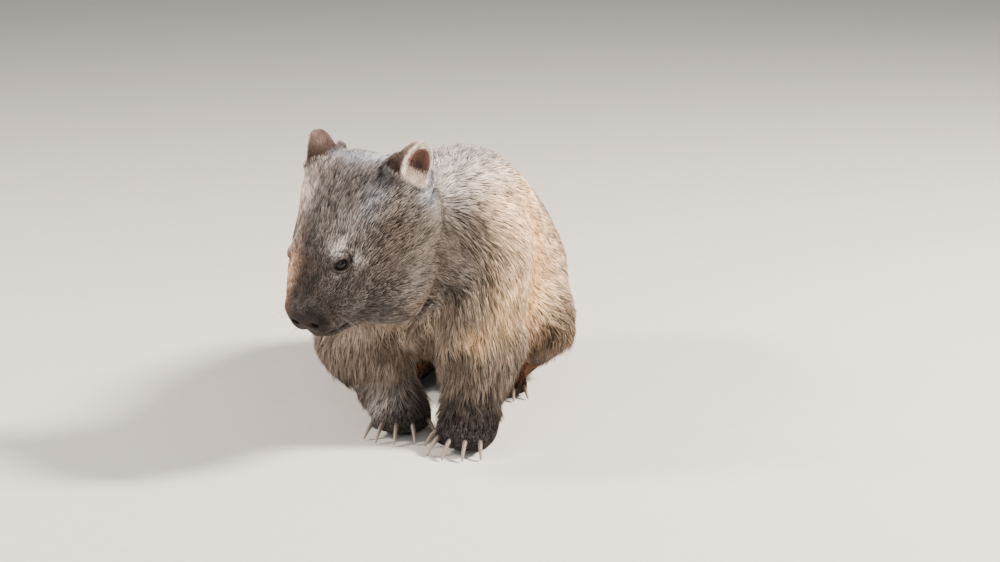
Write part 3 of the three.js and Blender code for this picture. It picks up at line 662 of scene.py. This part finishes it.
def coatColour(p):
    y, z = p.T[1:] / mm
    c = np.tile(palette["flank"], (len(p), 1))

    def lay(name, amount):
        nonlocal c
        c = between(c, palette[name], np.clip(amount, 0, 1)[:, None])

    lay("shoulder", rise(y, -60, -150))
    lay("back", rise(z, 262, 318) * 0.9)
    lay("rump", rise(y, 60, 200) * 0.85)
    lay("belly", rise(z, 130, 70))
    lay("chest", rise(y, -60, -120) * rise(z, 215, 165) * 0.9)
    lay("leg", rise(z, 150, 110) * rise(y, 0, -60))
    lay("shin", rise(z, 98, 56))
    lay("paw", rise(z, 50, 26))
    c = spotted(c, p, bodySpots)
    q = inHead(p)
    s = mirrored(q)
    headColour = spotted(np.tile(palette["face"], (len(p), 1)), s, headSpots)
    headColour = spotted(headColour, q, sunSpots)
    c = between(c, headColour, headness(p)[:, None])
    for side, axes in ears.items():
        e = axes.inward(p)
        high, back = e[:, 2] / mm, side * e[:, 0] / mm
        on = rise(high, 0, 8) * rise(np.linalg.norm(e[:, :2], axis=1), 33 * mm, 28 * mm) * (high < 64)
        toCup = ovalDistance(e, *earCup) / mm
        inCup = rise(toCup, 2.4, 0.8)
        rim = rise(toCup, 6.5, 3.0) * (1 - inCup) * rise(high, 4, 14)
        rim = np.maximum(rim, rise(high, 44, 50))
        # darker fur at the front of the ear's base
        base = rise(high, 34, 12) * rise(back, 14, 2)
        earColour = between(palette["earBack"], palette["dark"], (0.9 * base)[:, None])
        earColour = between(earColour, palette["crown"], (0.7 * rise(back, 4, 16))[:, None])
        earColour = between(earColour, palette["earInside"], inCup[:, None])
        earColour = between(earColour, palette["earRim"], (0.5 * inCup * rise(high, 26, 12))[:, None])
        earColour = between(earColour, palette["earRim"], (0.85 * rim)[:, None])
        c = between(c, earColour, on[:, None])
    wide = mottling["wide"] * waves(p, 0.06, 41)[:, :1]
    fine = mottling["fine"] * waves(p, 0.018, 43)[:, :1]
    c = c * np.clip(1 + wide + fine, 0.45, 1.6)
    c = between(c, palette["bare"], bareness(p)[:, None])
    return between(c, palette["lid"], (headness(p) * lidness(s))[:, None])


# Where the hair points, by place on the body: place in millimetres, then direction
lieGuides = [
    ([0, -130, 330], [0, 1, -0.1]), ([0, 0, 330], [0, 1, 0]),
    ([0, 120, 315], [0, 1, -0.2]), ([0, 220, 265], [0, 0.8, -0.6]),
    ([0, 300, 170], [0, 0.2, -1]), ([0, 310, 90], [0, 0, -1]),
    ([95, -70, 265], [0.4, 0.7, -0.6]), ([112, 30, 225], [0.1, 0.8, -0.6]),
    ([112, 30, 130], [0, 0.7, -0.7]), ([100, 130, 210], [0, 0.7, -0.7]),
    ([95, 140, 100], [0, 0.4, -0.9]), ([80, 230, 190], [0, 0.5, -0.9]),
    ([75, 240, 90], [0, 0.1, -1]), ([90, -100, 175], [0.3, 0.1, -1]),
    ([60, -150, 180], [0.25, -0.1, -1]), ([0, -190, 190], [0, 0.1, -1]),
    ([0, -150, 120], [0, -0.1, -1]), ([80, -110, 90], [0, -0.05, -1]),
    ([70, -110, 40], [0, -0.5, -0.9]), ([70, -145, 20], [0.1, -1, -0.4]),
    ([60, 60, 40], [0, -0.6, -0.8]), ([60, 120, 20], [0, -1, -0.3]),
    ([0, 60, 60], [0, 1, 0]), ([0, -60, 90], [0, 0.5, -0.7]),
    ([60, 180, 50], [0, 0.2, -1]),
]


def lieOfCoat(p):
    total = np.zeros_like(p)
    middle = -5
    for place, towards in lieGuides:
        for side in (1, -1) if place[0] else (1,):
            at = np.array([middle + side * place[0], place[1], place[2]]) * mm
            w = 1 / (((p - at) ** 2).sum(-1) + (18 * mm) ** 2) ** 2
            total += w[:, None] * unit(np.array([side * towards[0], *towards[1:]]))
    body = unit(total)
    q = inHead(p)
    s = np.sign(q[:, :1])
    fromNose = unit(q - np.array([0, -156, -78]) * mm)
    backward = unit(np.concatenate([s * 0.15, np.full_like(s, 1.0), np.full_like(s, -0.35)], axis=1))
    downward = unit(np.concatenate([s * 0.1, np.full_like(s, 0.5), np.full_like(s, -1.0)], axis=1))
    local = between(fromNose, backward, rise(q[:, 1], -50 * mm, 20 * mm)[:, None])
    lowCheek = rise(q[:, 2], -50 * mm, -100 * mm) * rise(q[:, 1], -90 * mm, -30 * mm)
    local = unit(between(local, downward, (0.75 * lowCheek)[:, None]))
    lie = unit(between(body, headAxes.direction(local), headness(p)[:, None]))
    for axes in ears.values():
        e = axes.inward(p)
        on = rise(e[:, 2], 0, 9 * mm) * rise(np.linalg.norm(e[:, :2], axis=1), 34 * mm, 28 * mm)
        up = axes.direction([0, 0.1, 1])
        lie = unit(between(lie, up, on[:, None]))
    return lie


def waves(p, size, seed):  # a smooth random vector at each place
    local = np.random.default_rng(seed)
    out = np.zeros_like(p)
    for _ in range(5):
        way = unit(local.normal(size=3)) * (2 * math.pi / size) * local.uniform(0.6, 1.5)
        out += np.sin(p @ way + local.uniform(0, 6.3))[:, None] * local.normal(size=3)
    return out / 3


coatLook = {  # millimetres, tufts to the square centimetre
    "body": {"length": 21, "width": 1.4, "perCm": 24, "stand": 1.0},
    "head": {"length": 12.5, "width": 0.75, "perCm": 60, "stand": 0.85},
    "muzzle": {"length": 5.5, "width": 0.6, "perCm": 100, "stand": 0.7},
    "shaggy": {"length": 29, "width": 1.25, "perCm": 30, "stand": 1.0},
    "feet": {"length": 10, "width": 1.0, "perCm": 37, "stand": 1.0},
    "ears": {"length": 7, "width": 0.6, "perCm": 110, "stand": 4.0},
}


# How many tufts draw together, and how far
clumping = {"tuftsEach": 9, "body": 0.30, "shaggy": 0.62, "head": 0.26}


def looksAt(p, what):
    value = np.full(len(p), float(coatLook["body"][what]))
    for area, amount in (
        ("shaggy", shaggyness(p)),
        ("head", headness(p)),
        ("muzzle", faceness(p)),
        ("feet", rise(p[:, 2], 44 * mm, 24 * mm)),
        ("ears", earness(p)),
    ):
        value = between(value, coatLook[area][what], amount)
    return value


def growth(p):  # 0 where no hair grows
    cup = np.zeros(len(p))
    for axes in ears.values():
        e = axes.inward(p)
        inCup = rise(ovalDistance(e, *earCup), 2.0 * mm, 0.8 * mm)
        cup = np.maximum(cup, inCup * rise(e[:, 2], 16 * mm, 28 * mm))
    sole = rise(p[:, 2], 4 * mm, 2 * mm)
    return (1 - rise(bareness(p), 0.1, 0.6)) * (1 - 0.92 * cup) * (1 - sole)


def scatter(points, triangles):
    corners = points[triangles]
    spans = np.cross(corners[:, 1] - corners[:, 0], corners[:, 2] - corners[:, 0])
    areas = np.linalg.norm(spans, axis=1) / 2
    middles = corners.mean(1)
    perArea = looksAt(middles, "perCm") * 1e4 * (growth(middles) > 0.02)
    expected = areas * perArea
    tries = int(expected.sum() * 3)
    chosen = np.sort(draw.choice(len(triangles), tries, p=expected / expected.sum()))
    a, b = np.sqrt(draw.random(tries)), draw.random(tries)
    shares = np.stack([1 - a, a * (1 - b), a * b], axis=1)
    roots = (corners[chosen] * shares[..., None]).sum(1)
    cell = 1.22 / np.sqrt(perArea[chosen])
    level = np.round(np.log(cell) * 6)
    size = np.exp(level / 6)
    keys = np.column_stack([level, np.floor(roots / size[:, None])]).astype(np.int64)
    order = draw.permutation(tries)
    _, first = np.unique(keys[order], axis=0, return_index=True)
    kept = np.sort(order[first])
    kept = kept[draw.random(len(kept)) < growth(roots[kept])]
    return roots[kept], chosen[kept], shares[kept]


def bakeSpots(mesh, faces, shares):  # each root's place on the unwrap of the skin
    loops = np.empty(len(mesh.loop_triangles) * 3, np.int32)
    mesh.loop_triangles.foreach_get("loops", loops)
    spots = np.empty(len(mesh.loops) * 2, np.float32)
    mesh.uv_layers["OFBake"].data.foreach_get("uv", spots)
    return (spots.reshape(-1, 2)[loops.reshape(-1, 3)[faces]] * shares[..., None]).sum(1)


def makeTufts(skin):
    points, triangles = meshArrays(skin.data)
    points = points.astype(np.float64)
    roots, faces, shares = scatter(points, triangles)
    spots = bakeSpots(skin.data, faces, shares)
    n = skinField.slope(roots, 1.6 * mm)
    count = len(roots)
    lie = lieOfCoat(roots) + waves(roots, 0.07, 5) * 0.16 + waves(roots, 0.018, 9) * 0.10
    lie = lie + draw.normal(size=(count, 3)) * 0.07
    lie = unit(lie - n * along(lie, n)[:, None])
    shag = shaggyness(roots)
    head = headness(roots)
    length = looksAt(roots, "length") * mm * draw.uniform(0.72, 1.18, count)
    length *= between(0.55, 1, rise(bareness(roots), 0.3, 0))
    length *= 1 - 0.6 * nearEye(roots, 11, 24)
    width = looksAt(roots, "width") * mm * draw.uniform(0.75, 1.25, count)
    stand = (coatDepth(roots) + shag * 6.5 * mm) * looksAt(roots, "stand")
    stand = stand * draw.uniform(0.55, 1.12, count)
    stand = np.minimum(stand, length * 0.75)
    mid = roots + lie * (length * 0.45)[:, None] + n * (stand * 0.62)[:, None]
    for _ in range(2):
        mid = mid + skinField.slope(mid) * (stand * 0.62 - skinField.at(mid))[:, None]
    n2 = skinField.slope(mid)
    onward = unit(lie - n2 * along(lie, n2)[:, None])
    tip = mid + onward * (length * 0.55)[:, None]
    for _ in range(2):
        tip = tip + skinField.slope(tip) * (stand - skinField.at(tip))[:, None]
    clumps = draw.permutation(count)[: count // clumping["tuftsEach"]]
    tree = kdtree.KDTree(len(clumps))
    for i, c in enumerate(clumps):
        tree.insert(roots[c], i)
    tree.balance()
    nearest = clumps[np.array([tree.find(r)[1] for r in roots])]
    pull = between(between(clumping["body"], clumping["shaggy"], shag), clumping["head"], head)
    pull = pull * draw.uniform(0.4, 1.2, count)
    clumpTip = roots[nearest] + (tip[nearest] - roots[nearest]) * (length / length[nearest])[:, None]
    close = np.linalg.norm(clumpTip - tip, axis=1) < length * 0.9
    pull = np.where(close, pull, 0)
    tip = between(tip, clumpTip, pull[:, None])
    mid = between(mid, (clumpTip + roots) / 2 + n * (stand * 0.3)[:, None], (pull * 0.3)[:, None])
    tone = draw.normal(size=count) * 0.8 + draw.normal(size=count)[nearest] * 0.55
    tone *= 1 - 0.75 * earness(roots)
    return {
        "root": roots, "mid": mid, "tip": tip, "normal": n, "width": width,
        "tone": tone, "spot": spots, "tint": coatColour(roots),
    }


lowestHair = 0.9  # millimetres over the ground
tuftPatch = [[0, 0.12], [0.5, 0], [1, 0.12], [0, 0.55], [0.5, 0.5], [1, 0.55], [0.5, 1]]


def bladeMesh(name, t, keep):  # every tuft a three-sided blade
    root, mid, tip, n = t["root"][keep], t["mid"][keep], t["tip"][keep], t["normal"][keep]
    width = t["width"][keep][:, None]
    count = len(root)
    across = unit(np.cross(tip - root, n))
    over = unit(np.cross(across, tip - mid))
    over *= np.sign(along(over, n))[:, None]
    start = root - n * 0.8 * mm
    rings = [
        start - across * width * 0.35, start + n * width * 0.35, start + across * width * 0.35,
        mid - across * width * 0.5, mid + over * width * 0.42, mid + across * width * 0.5, tip,
    ]
    points = np.stack(rings, axis=1).reshape(-1, 3)
    points[:, 2] = np.maximum(points[:, 2], lowestHair * mm)
    faces = np.array([[0, 1, 4, 3], [1, 2, 5, 4], [2, 0, 3, 5]])
    ends = np.array([[3, 4, 6], [4, 5, 6], [5, 3, 6], [2, 1, 0]])
    starts = np.arange(count)[:, None] * 7
    loops = np.concatenate([(faces.ravel() + starts), (ends.ravel() + starts)], axis=1).ravel()
    sizes = np.tile([4, 4, 4, 3, 3, 3, 3], count)
    mesh = meshFrom(name, points, loops, sizes)
    spots = (t["spot"][keep][:, None, :] + np.array(tuftPatch) * 0.003).reshape(-1, 2)
    layer = mesh.uv_layers.new(name="OFBake")
    layer.data.foreach_set("uv", spots[loops].astype(np.float32).ravel())
    setAttribute(mesh, "tuftAlong", np.tile([0, 0, 0, 0.55, 0.55, 0.55, 1], count))
    setAttribute(mesh, "tuftTone", np.repeat(t["tone"][keep], 7))
    setAttribute(mesh, "coatTint", np.repeat(t["tint"][keep], 7, axis=0))
    return mesh


def onHead(p, onLeft, fore):
    q = inHead(p)
    return (headness(p) > 0.5) & ((q[:, 0] > 0) == onLeft) & (q[:, 1] < fore * mm)


coatPieces = [  # name, slot, where it grows, each apart from those above it
    ("coatEars", "ears", lambda p: earness(p) > 0.5),
    ("coatFaceLeft", "coat_head", lambda p: onHead(p, True, -70)),
    ("coatFaceRight", "coat_head", lambda p: onHead(p, False, -70)),
    ("coatCheekLeft", "coat_head", lambda p: onHead(p, True, 1000)),
    ("coatCheekRight", "coat_head", lambda p: headness(p) > 0.5),
    ("coatForelegs", "coat_legs", lambda p: (p[:, 1] < -30 * mm) & (p[:, 2] < 130 * mm)),
    ("coatHindlegs", "coat_legs", lambda p: (p[:, 1] >= 20 * mm) & (p[:, 2] < 95 * mm)),
    ("coatShoulders", "coat_body", lambda p: p[:, 1] < -50 * mm),
    ("coatFlankLeft", "coat_body", lambda p: (p[:, 0] > 0) & (p[:, 1] < 110 * mm)),
    ("coatFlankRight", "coat_body", lambda p: p[:, 1] < 110 * mm),
    ("coatRump", "coat_body", lambda p: p[:, 1] >= 110 * mm),
]
mostTufts = 19900  # in one piece


def makeCoat(skin, look):
    tufts = makeTufts(skin)
    left = np.ones(len(tufts["root"]), bool)
    made = []
    for name, slot, where in coatPieces:
        mine = np.where(left & where(tufts["root"]))[0]
        left[mine] = False
        if not len(mine):
            continue
        parts = -(-len(mine) // mostTufts)
        order = np.argsort(tufts["root"][mine][:, 1])
        for i, part in enumerate(np.array_split(mine[order], parts)):
            title = name if parts == 1 else f"{name}{i + 1}"
            piece = newObject(title, bladeMesh(title, tufts, np.sort(part)))
            piece.data.materials.append(look)
            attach(piece, "root")
            made.append(piece)
            print(f"  {title}: {len(part)} tufts")
    report(f"coat of {len(tufts['root'])} tufts in {len(made)} pieces, {left.sum()} left over")
    return made


class Value:  # a number that varies over a surface
    def __init__(self, look, socket):
        self.look, self.socket = look, socket

    def worked(self, operation, a, b):
        return self.look.node("ShaderNodeMath", {"operation": operation}, {0: a, 1: b})

    def __add__(self, other):
        return self.worked("ADD", self, other)

    def __radd__(self, other):
        return self.worked("ADD", other, self)

    def __sub__(self, other):
        return self.worked("SUBTRACT", self, other)

    def __rsub__(self, other):
        return self.worked("SUBTRACT", other, self)

    def __mul__(self, other):
        return self.worked("MULTIPLY", self, other)

    def __rmul__(self, other):
        return self.worked("MULTIPLY", other, self)

    def held(self, low=0, high=1):
        return self.look.node("ShaderNodeClamp", {}, {"Value": self, "Min": low, "Max": high})


class Look:  # one material
    def __init__(self, name, roughness, shine=0.5):
        self.material = bpy.data.materials.new(name)
        self.material.use_nodes = True
        self.tree = self.material.node_tree
        self.shader = self.tree.nodes["Principled BSDF"]
        self.shader.inputs["Roughness"].default_value = roughness
        self.shader.inputs["Specular IOR Level"].default_value = shine

    def node(self, kind, settings, given, output=0):
        made = self.tree.nodes.new(kind)
        for name, value in settings.items():
            setattr(made, name, value)
        for name, value in given.items():
            self.put(made.inputs[name], value)
        return Value(self, made.outputs[output])

    def put(self, socket, value):
        if isinstance(value, Value):
            self.tree.links.new(value.socket, socket)
        elif isinstance(value, (int, float)):
            socket.default_value = value
        else:
            value = tuple(float(v) for v in value)
            socket.default_value = value if len(value) == len(socket.default_value) else (*value, 1)

    def set(self, **values):
        for name, value in values.items():
            self.put(self.shader.inputs[name.replace("_", " ")], value)

    def carried(self, name, vector=False):  # a value stored on the mesh
        kind = {"attribute_type": "GEOMETRY", "attribute_name": name}
        return self.node("ShaderNodeAttribute", kind, {}, "Vector" if vector else "Fac")

    def place(self):
        return self.node("ShaderNodeNewGeometry", {}, {}, "Position")

    def noise(self, scale, detail=2.0):
        given = {"Vector": self.place(), "Scale": scale, "Detail": detail}
        return self.node("ShaderNodeTexNoise", {}, given, "Fac")

    def scaled(self, shade, amount):
        given = {"Vector": shade, "Scale": amount}
        return self.node("ShaderNodeVectorMath", {"operation": "SCALE"}, given)

    def mixed(self, a, b, amount):
        settings = {"data_type": "RGBA", "clamp_factor": True}
        return self.node("ShaderNodeMix", settings, {"Factor": amount, 6: a, 7: b}, 2)

    def bump(self, height, strength, depth):
        given = {"Height": height, "Strength": strength, "Distance": depth}
        return self.node("ShaderNodeBump", {}, given)


# Shares of the coat's own colour at root, tip and pale tip, and under the coat
hairLook = {
    "root": 0.26, "tip": 1.24, "paleTips": 1.9, "toneSpread": 0.42,
    "roughness": 0.55, "shine": 0.15,
}
skinLook = {
    "under": 0.42, "leatherScale": 620, "poreScale": 1500,
    "roughness": 0.66, "shine": 0.12,
}
eyeLook = {
    "pupil": (0.002, 0.002, 0.003), "iris": (0.007, 0.004, 0.003),
    "edge": (0.004, 0.003, 0.003), "roughness": 0.06, "shine": 0.22,
}
clawLook = {
    "root": colour(50, 44, 41), "tip": colour(132, 120, 109),
    "roughness": 0.34, "thicker": 0.7,  # thicker than the solids, in millimetres
}


def hairMaterial():
    look = Look("coatHair", hairLook["roughness"], hairLook["shine"])
    tint = look.carried("coatTint", vector=True)
    tone = look.carried("tuftTone")
    height = look.carried("tuftAlong")
    streak = look.noise(900) - 0.5
    gain = hairLook["root"] + height * (hairLook["tip"] - hairLook["root"])
    gain = gain * (1 + tone * hairLook["toneSpread"] + streak * 0.3).held(0.25, 2)
    shade = look.scaled(tint, gain)
    pale = height * height * (0.22 + tone * 0.30).held()
    look.set(Base_Color=look.mixed(shade, look.scaled(tint, hairLook["paleTips"]), pale.held()))
    return look.material


def skinMaterial():
    look = Look("skinBare", skinLook["roughness"], skinLook["shine"])
    tint = look.carried("coatTint", vector=True)
    bare = look.carried("bareSkin")
    patches = look.noise(160, 3.0)
    gain = bare + (1 - bare) * skinLook["under"]
    gain = gain * (0.72 + patches * 0.56)
    rough = skinLook["roughness"] - bare * 0.16 + patches * 0.1
    look.set(Base_Color=look.scaled(tint, gain), Roughness=rough)
    given = {"Vector": look.place(), "Scale": skinLook["leatherScale"]}
    grain = look.node("ShaderNodeTexVoronoi", {"feature": "F1"}, given, "Distance")
    height = grain * 0.7 + look.noise(skinLook["poreScale"], 2.0) * 0.3
    look.set(Normal=look.bump(height, 0.5, 0.0006))
    return look.material


def eyeMaterial():
    look = Look("eyeBall", eyeLook["roughness"], eyeLook["shine"])
    fromAxis = look.carried("fromPupil")
    fibres = look.noise(700, 4.0)
    ring = (fromAxis - 0.42 + (fibres - 0.5) * 0.06) * 9
    edge = (fromAxis - 0.80) * 12
    iris = look.scaled(eyeLook["iris"], 0.6 + fibres * 0.8)
    shade = look.mixed(eyeLook["pupil"], iris, ring.held())
    shade = look.mixed(shade, eyeLook["edge"], edge.held())
    look.set(Base_Color=shade)
    return look.material


def clawMaterial():
    look = Look("clawHorn", clawLook["roughness"])
    down = look.carried("alongClaw")
    streaks = look.noise(420, 3.0)
    amount = (down * 1.25 + (streaks - 0.5) * 0.7).held()
    shade = look.mixed(clawLook["root"], clawLook["tip"], amount)
    look.set(Base_Color=shade, Roughness=clawLook["roughness"] + streaks * 0.24)
    look.set(Normal=look.bump(look.noise(900, 2.0), 0.4, 0.0005))
    return look.material


def whiskerMaterial():
    look = Look("whiskerHair", 0.4)
    height = look.carried("tuftAlong")
    look.set(Base_Color=look.mixed(colour(40, 34, 30), colour(150, 140, 128), height))
    return look.material


def floorMaterial():
    look = Look("paleFloor", 0.75)
    fleck = look.noise(60, 4.0)
    shade = look.mixed((0.60, 0.585, 0.565), (0.66, 0.645, 0.625), fleck)
    look.set(Base_Color=shade, Roughness=0.7 + fleck * 0.1)
    look.set(Normal=look.bump(look.noise(240, 3.0), 0.12, 0.001))
    return look.material


def makeEye(side, look):
    radius = eyePlace["radius"] * mm
    ball = bmesh.new()
    bmesh.ops.create_uvsphere(ball, u_segments=64, v_segments=40, radius=radius)
    mesh = bpy.data.meshes.new("eyeBall")
    ball.to_mesh(mesh)
    ball.free()
    local, _ = meshArrays(mesh)
    local = local.astype(np.float64)
    out = np.clip(local[:, 2] / radius, -1, 1)
    angle = np.arccos(out)
    local *= (1 + 0.055 * rise(angle, 0.72, 0))[:, None]  # the cornea stands a little proud
    world = headAxes.outward(eyes[side].outward(local))
    mesh.vertices.foreach_set("co", world.astype(np.float32).ravel())
    mesh.shade_smooth()
    setAttribute(mesh, "fromPupil", angle / 0.95)
    name = "eyeLeft" if side > 0 else "eyeRight"
    piece = newObject(name, mesh)
    if side < 0:
        mesh.flip_normals()
    mesh.materials.append(look)
    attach(piece, "root")
    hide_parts("eye_left" if side > 0 else "eye_right")


def vertexNormals(points, triangles):
    corners = points[triangles]
    faceNormals = np.cross(corners[:, 1] - corners[:, 0], corners[:, 2] - corners[:, 0])
    total = np.zeros_like(points)
    for k in range(3):
        np.add.at(total, triangles[:, k], faceNormals)
    return unit(total)


def makeClaws(look):
    for foot in ("fore_left", "fore_right", "hind_left", "hind_right"):
        nodes = sorted(n for n in frame["nodes"] if n.startswith(f"claw_{foot}"))
        allPoints = []
        allFaces = []
        down = []
        count = 0
        for name in nodes:
            points, triangles = meshArrays(frame["nodes"][name].data)
            points, back = np.unique(np.round(points, 6), axis=0, return_inverse=True)
            triangles = back.reshape(-1)[triangles]
            spread = points - points.mean(0)
            run = np.linalg.svd(spread, full_matrices=False)[2][0]
            run *= -np.sign(run[2]) if abs(run[2]) > 0.1 else -np.sign(run[1])
            t = spread @ run
            points = points + vertexNormals(points, triangles) * clawLook["thicker"] * mm
            allPoints.append(points)
            allFaces.append(triangles + count)
            down.append((t - t.min()) / np.ptp(t))
            count += len(points)
        faces = np.concatenate(allFaces)
        title = "claws" + "".join(part.capitalize() for part in foot.split("_"))
        mesh = meshFrom(title, np.concatenate(allPoints), faces.ravel(), np.full(len(faces), 3))
        piece = newObject(title, mesh)
        setAttribute(piece.data, "alongClaw", np.concatenate(down))
        rounding = piece.modifiers.new("rounded", "SUBSURF")
        rounding.levels = 2
        rounding.render_levels = 2
        piece.data.materials.append(look)
        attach(piece, "root")
        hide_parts(*nodes)


whiskers = {"perSide": 13, "length": [26, 46], "width": 0.32}  # millimetres


def makeWhiskers(look):
    count = whiskers["perSide"] * 2
    side = np.repeat([1.0, -1.0], whiskers["perSide"])
    across = side * draw.uniform(14, 27, count)
    back = draw.uniform(-146, -122, count)
    up = draw.uniform(-90, -72, count)
    roots = headAxes.outward(np.stack([across, back, up], axis=1) * mm)
    for _ in range(6):
        roots = roots - skinField.slope(roots) * skinField.at(roots)[:, None]
    n = skinField.slope(roots)
    sweep = np.stack([side * 0.9, np.full(count, 0.15), np.full(count, -0.45)], axis=1)
    sweep = headAxes.direction(sweep)
    way = unit(n * 0.8 + sweep + draw.normal(size=(count, 3)) * 0.12)
    length = draw.uniform(*whiskers["length"], count) * mm
    droop = np.array([0, 0, -1]) * 0.22
    steps = np.linspace(0, 1, 6)
    across = unit(np.cross(way, [0.2, 0.1, 1]))
    over = np.cross(way, across)
    rings = []
    for t in steps[:-1]:
        middle = roots + way * (length * t)[:, None] + droop * (length * t * t)[:, None]
        wide = whiskers["width"] * mm * (1 - t) * 0.5 + 0.04 * mm
        rings += [middle + wide * (across * math.cos(a) + over * math.sin(a)) for a in (0, 2.1, 4.2)]
    rings.append(roots + way * length[:, None] + droop * length[:, None])
    points = np.stack(rings, axis=1).reshape(-1, 3)
    last = len(steps) - 2
    quads = []
    for r in range(0, last * 3, 3):
        quads += [[r + i, r + (i + 1) % 3, r + 3 + (i + 1) % 3, r + 3 + i] for i in range(3)]
    ends = [[last * 3 + i, last * 3 + (i + 1) % 3, last * 3 + 3] for i in range(3)] + [[2, 1, 0]]
    starts = np.arange(count)[:, None] * len(rings)
    corners = np.concatenate([np.array(quads).ravel(), np.array(ends).ravel()])
    loops = (corners + starts).ravel()
    sizes = np.tile([4] * len(quads) + [3] * len(ends), count)
    piece = newObject("whiskers", meshFrom("whiskers", points, loops, sizes))
    heights = np.concatenate([np.repeat(steps[:-1], 3), [1]])
    setAttribute(piece.data, "tuftAlong", np.tile(heights, count))
    piece.data.materials.append(look)
    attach(piece, "root")


skin = makeSkin()
skinPoints = meshArrays(skin.data)[0].astype(np.float64)
setAttribute(skin.data, "coatTint", coatColour(skinPoints))
setAttribute(skin.data, "bareSkin", np.maximum(bareness(skinPoints), 0.6 * earness(skinPoints)))
skin.data.materials.append(skinMaterial())
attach(skin, "root")
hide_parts(*fleshNodes)
report(f"skin of {len(skin.data.polygons)} faces")

makeCoat(skin, hairMaterial())
eyeFinish = eyeMaterial()
for side in (1, -1):
    makeEye(side, eyeFinish)
makeClaws(clawMaterial())
makeWhiskers(whiskerMaterial())
report("eyes, claws and whiskers made")


studio = {"floor": 60, "world": (0.86, 0.88, 0.90), "worldStrength": 0.36}
lamps = [  # name, place, size, watts, colour
    ("key", (2.4, 0.3, 2.3), 0.7, 440, (1.0, 0.88, 0.74)),
    ("rim", (-2.2, -0.9, 1.9), 0.6, 120, (1.0, 0.86, 0.72)),
    ("fill", (-2.2, -2.6, 1.8), 2.2, 50, (0.90, 0.95, 1.0)),
    ("front", (0.9, -3.2, 1.6), 1.6, 36, (1.0, 0.95, 0.88)),
]
view = {"place": (0.6771, -2.5133, 0.777), "right": 13.4547, "down": 13.335, "focal": 79.2}

bpy.ops.mesh.primitive_plane_add(size=studio["floor"], location=(0, 0, 0))
floor = bpy.context.object
floor.name = "floor"
floor.data.materials.append(floorMaterial())

for name, place, size, watts, tint in lamps:
    lamp = bpy.data.lights.new(name, "AREA")
    lamp.shape = "DISK"
    lamp.size = size
    lamp.energy = watts
    lamp.color = tint
    holder = bpy.data.objects.new(name, lamp)
    holder.location = place
    holder.rotation_euler = (Vector((0, 0, 0.18)) - Vector(place)).to_track_quat("-Z", "Y").to_euler()
    bpy.context.scene.collection.objects.link(holder)

world = bpy.data.worlds.new("studio")
world.use_nodes = True
sky = world.node_tree.nodes["Background"]
sky.inputs["Color"].default_value = (*studio["world"], 1)
sky.inputs["Strength"].default_value = studio["worldStrength"]
bpy.context.scene.world = world

camera = bpy.data.objects.new("camera", bpy.data.cameras.new("camera"))
camera.data.lens = view["focal"]
camera.data.sensor_width = 36
camera.data.clip_start = 0.05
camera.data.clip_end = 60
camera.location = view["place"]
camera.rotation_euler = (math.radians(90 - view["down"]), 0, math.radians(view["right"]))
bpy.context.scene.collection.objects.link(camera)
bpy.context.scene.camera = camera

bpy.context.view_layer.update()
report("ready")
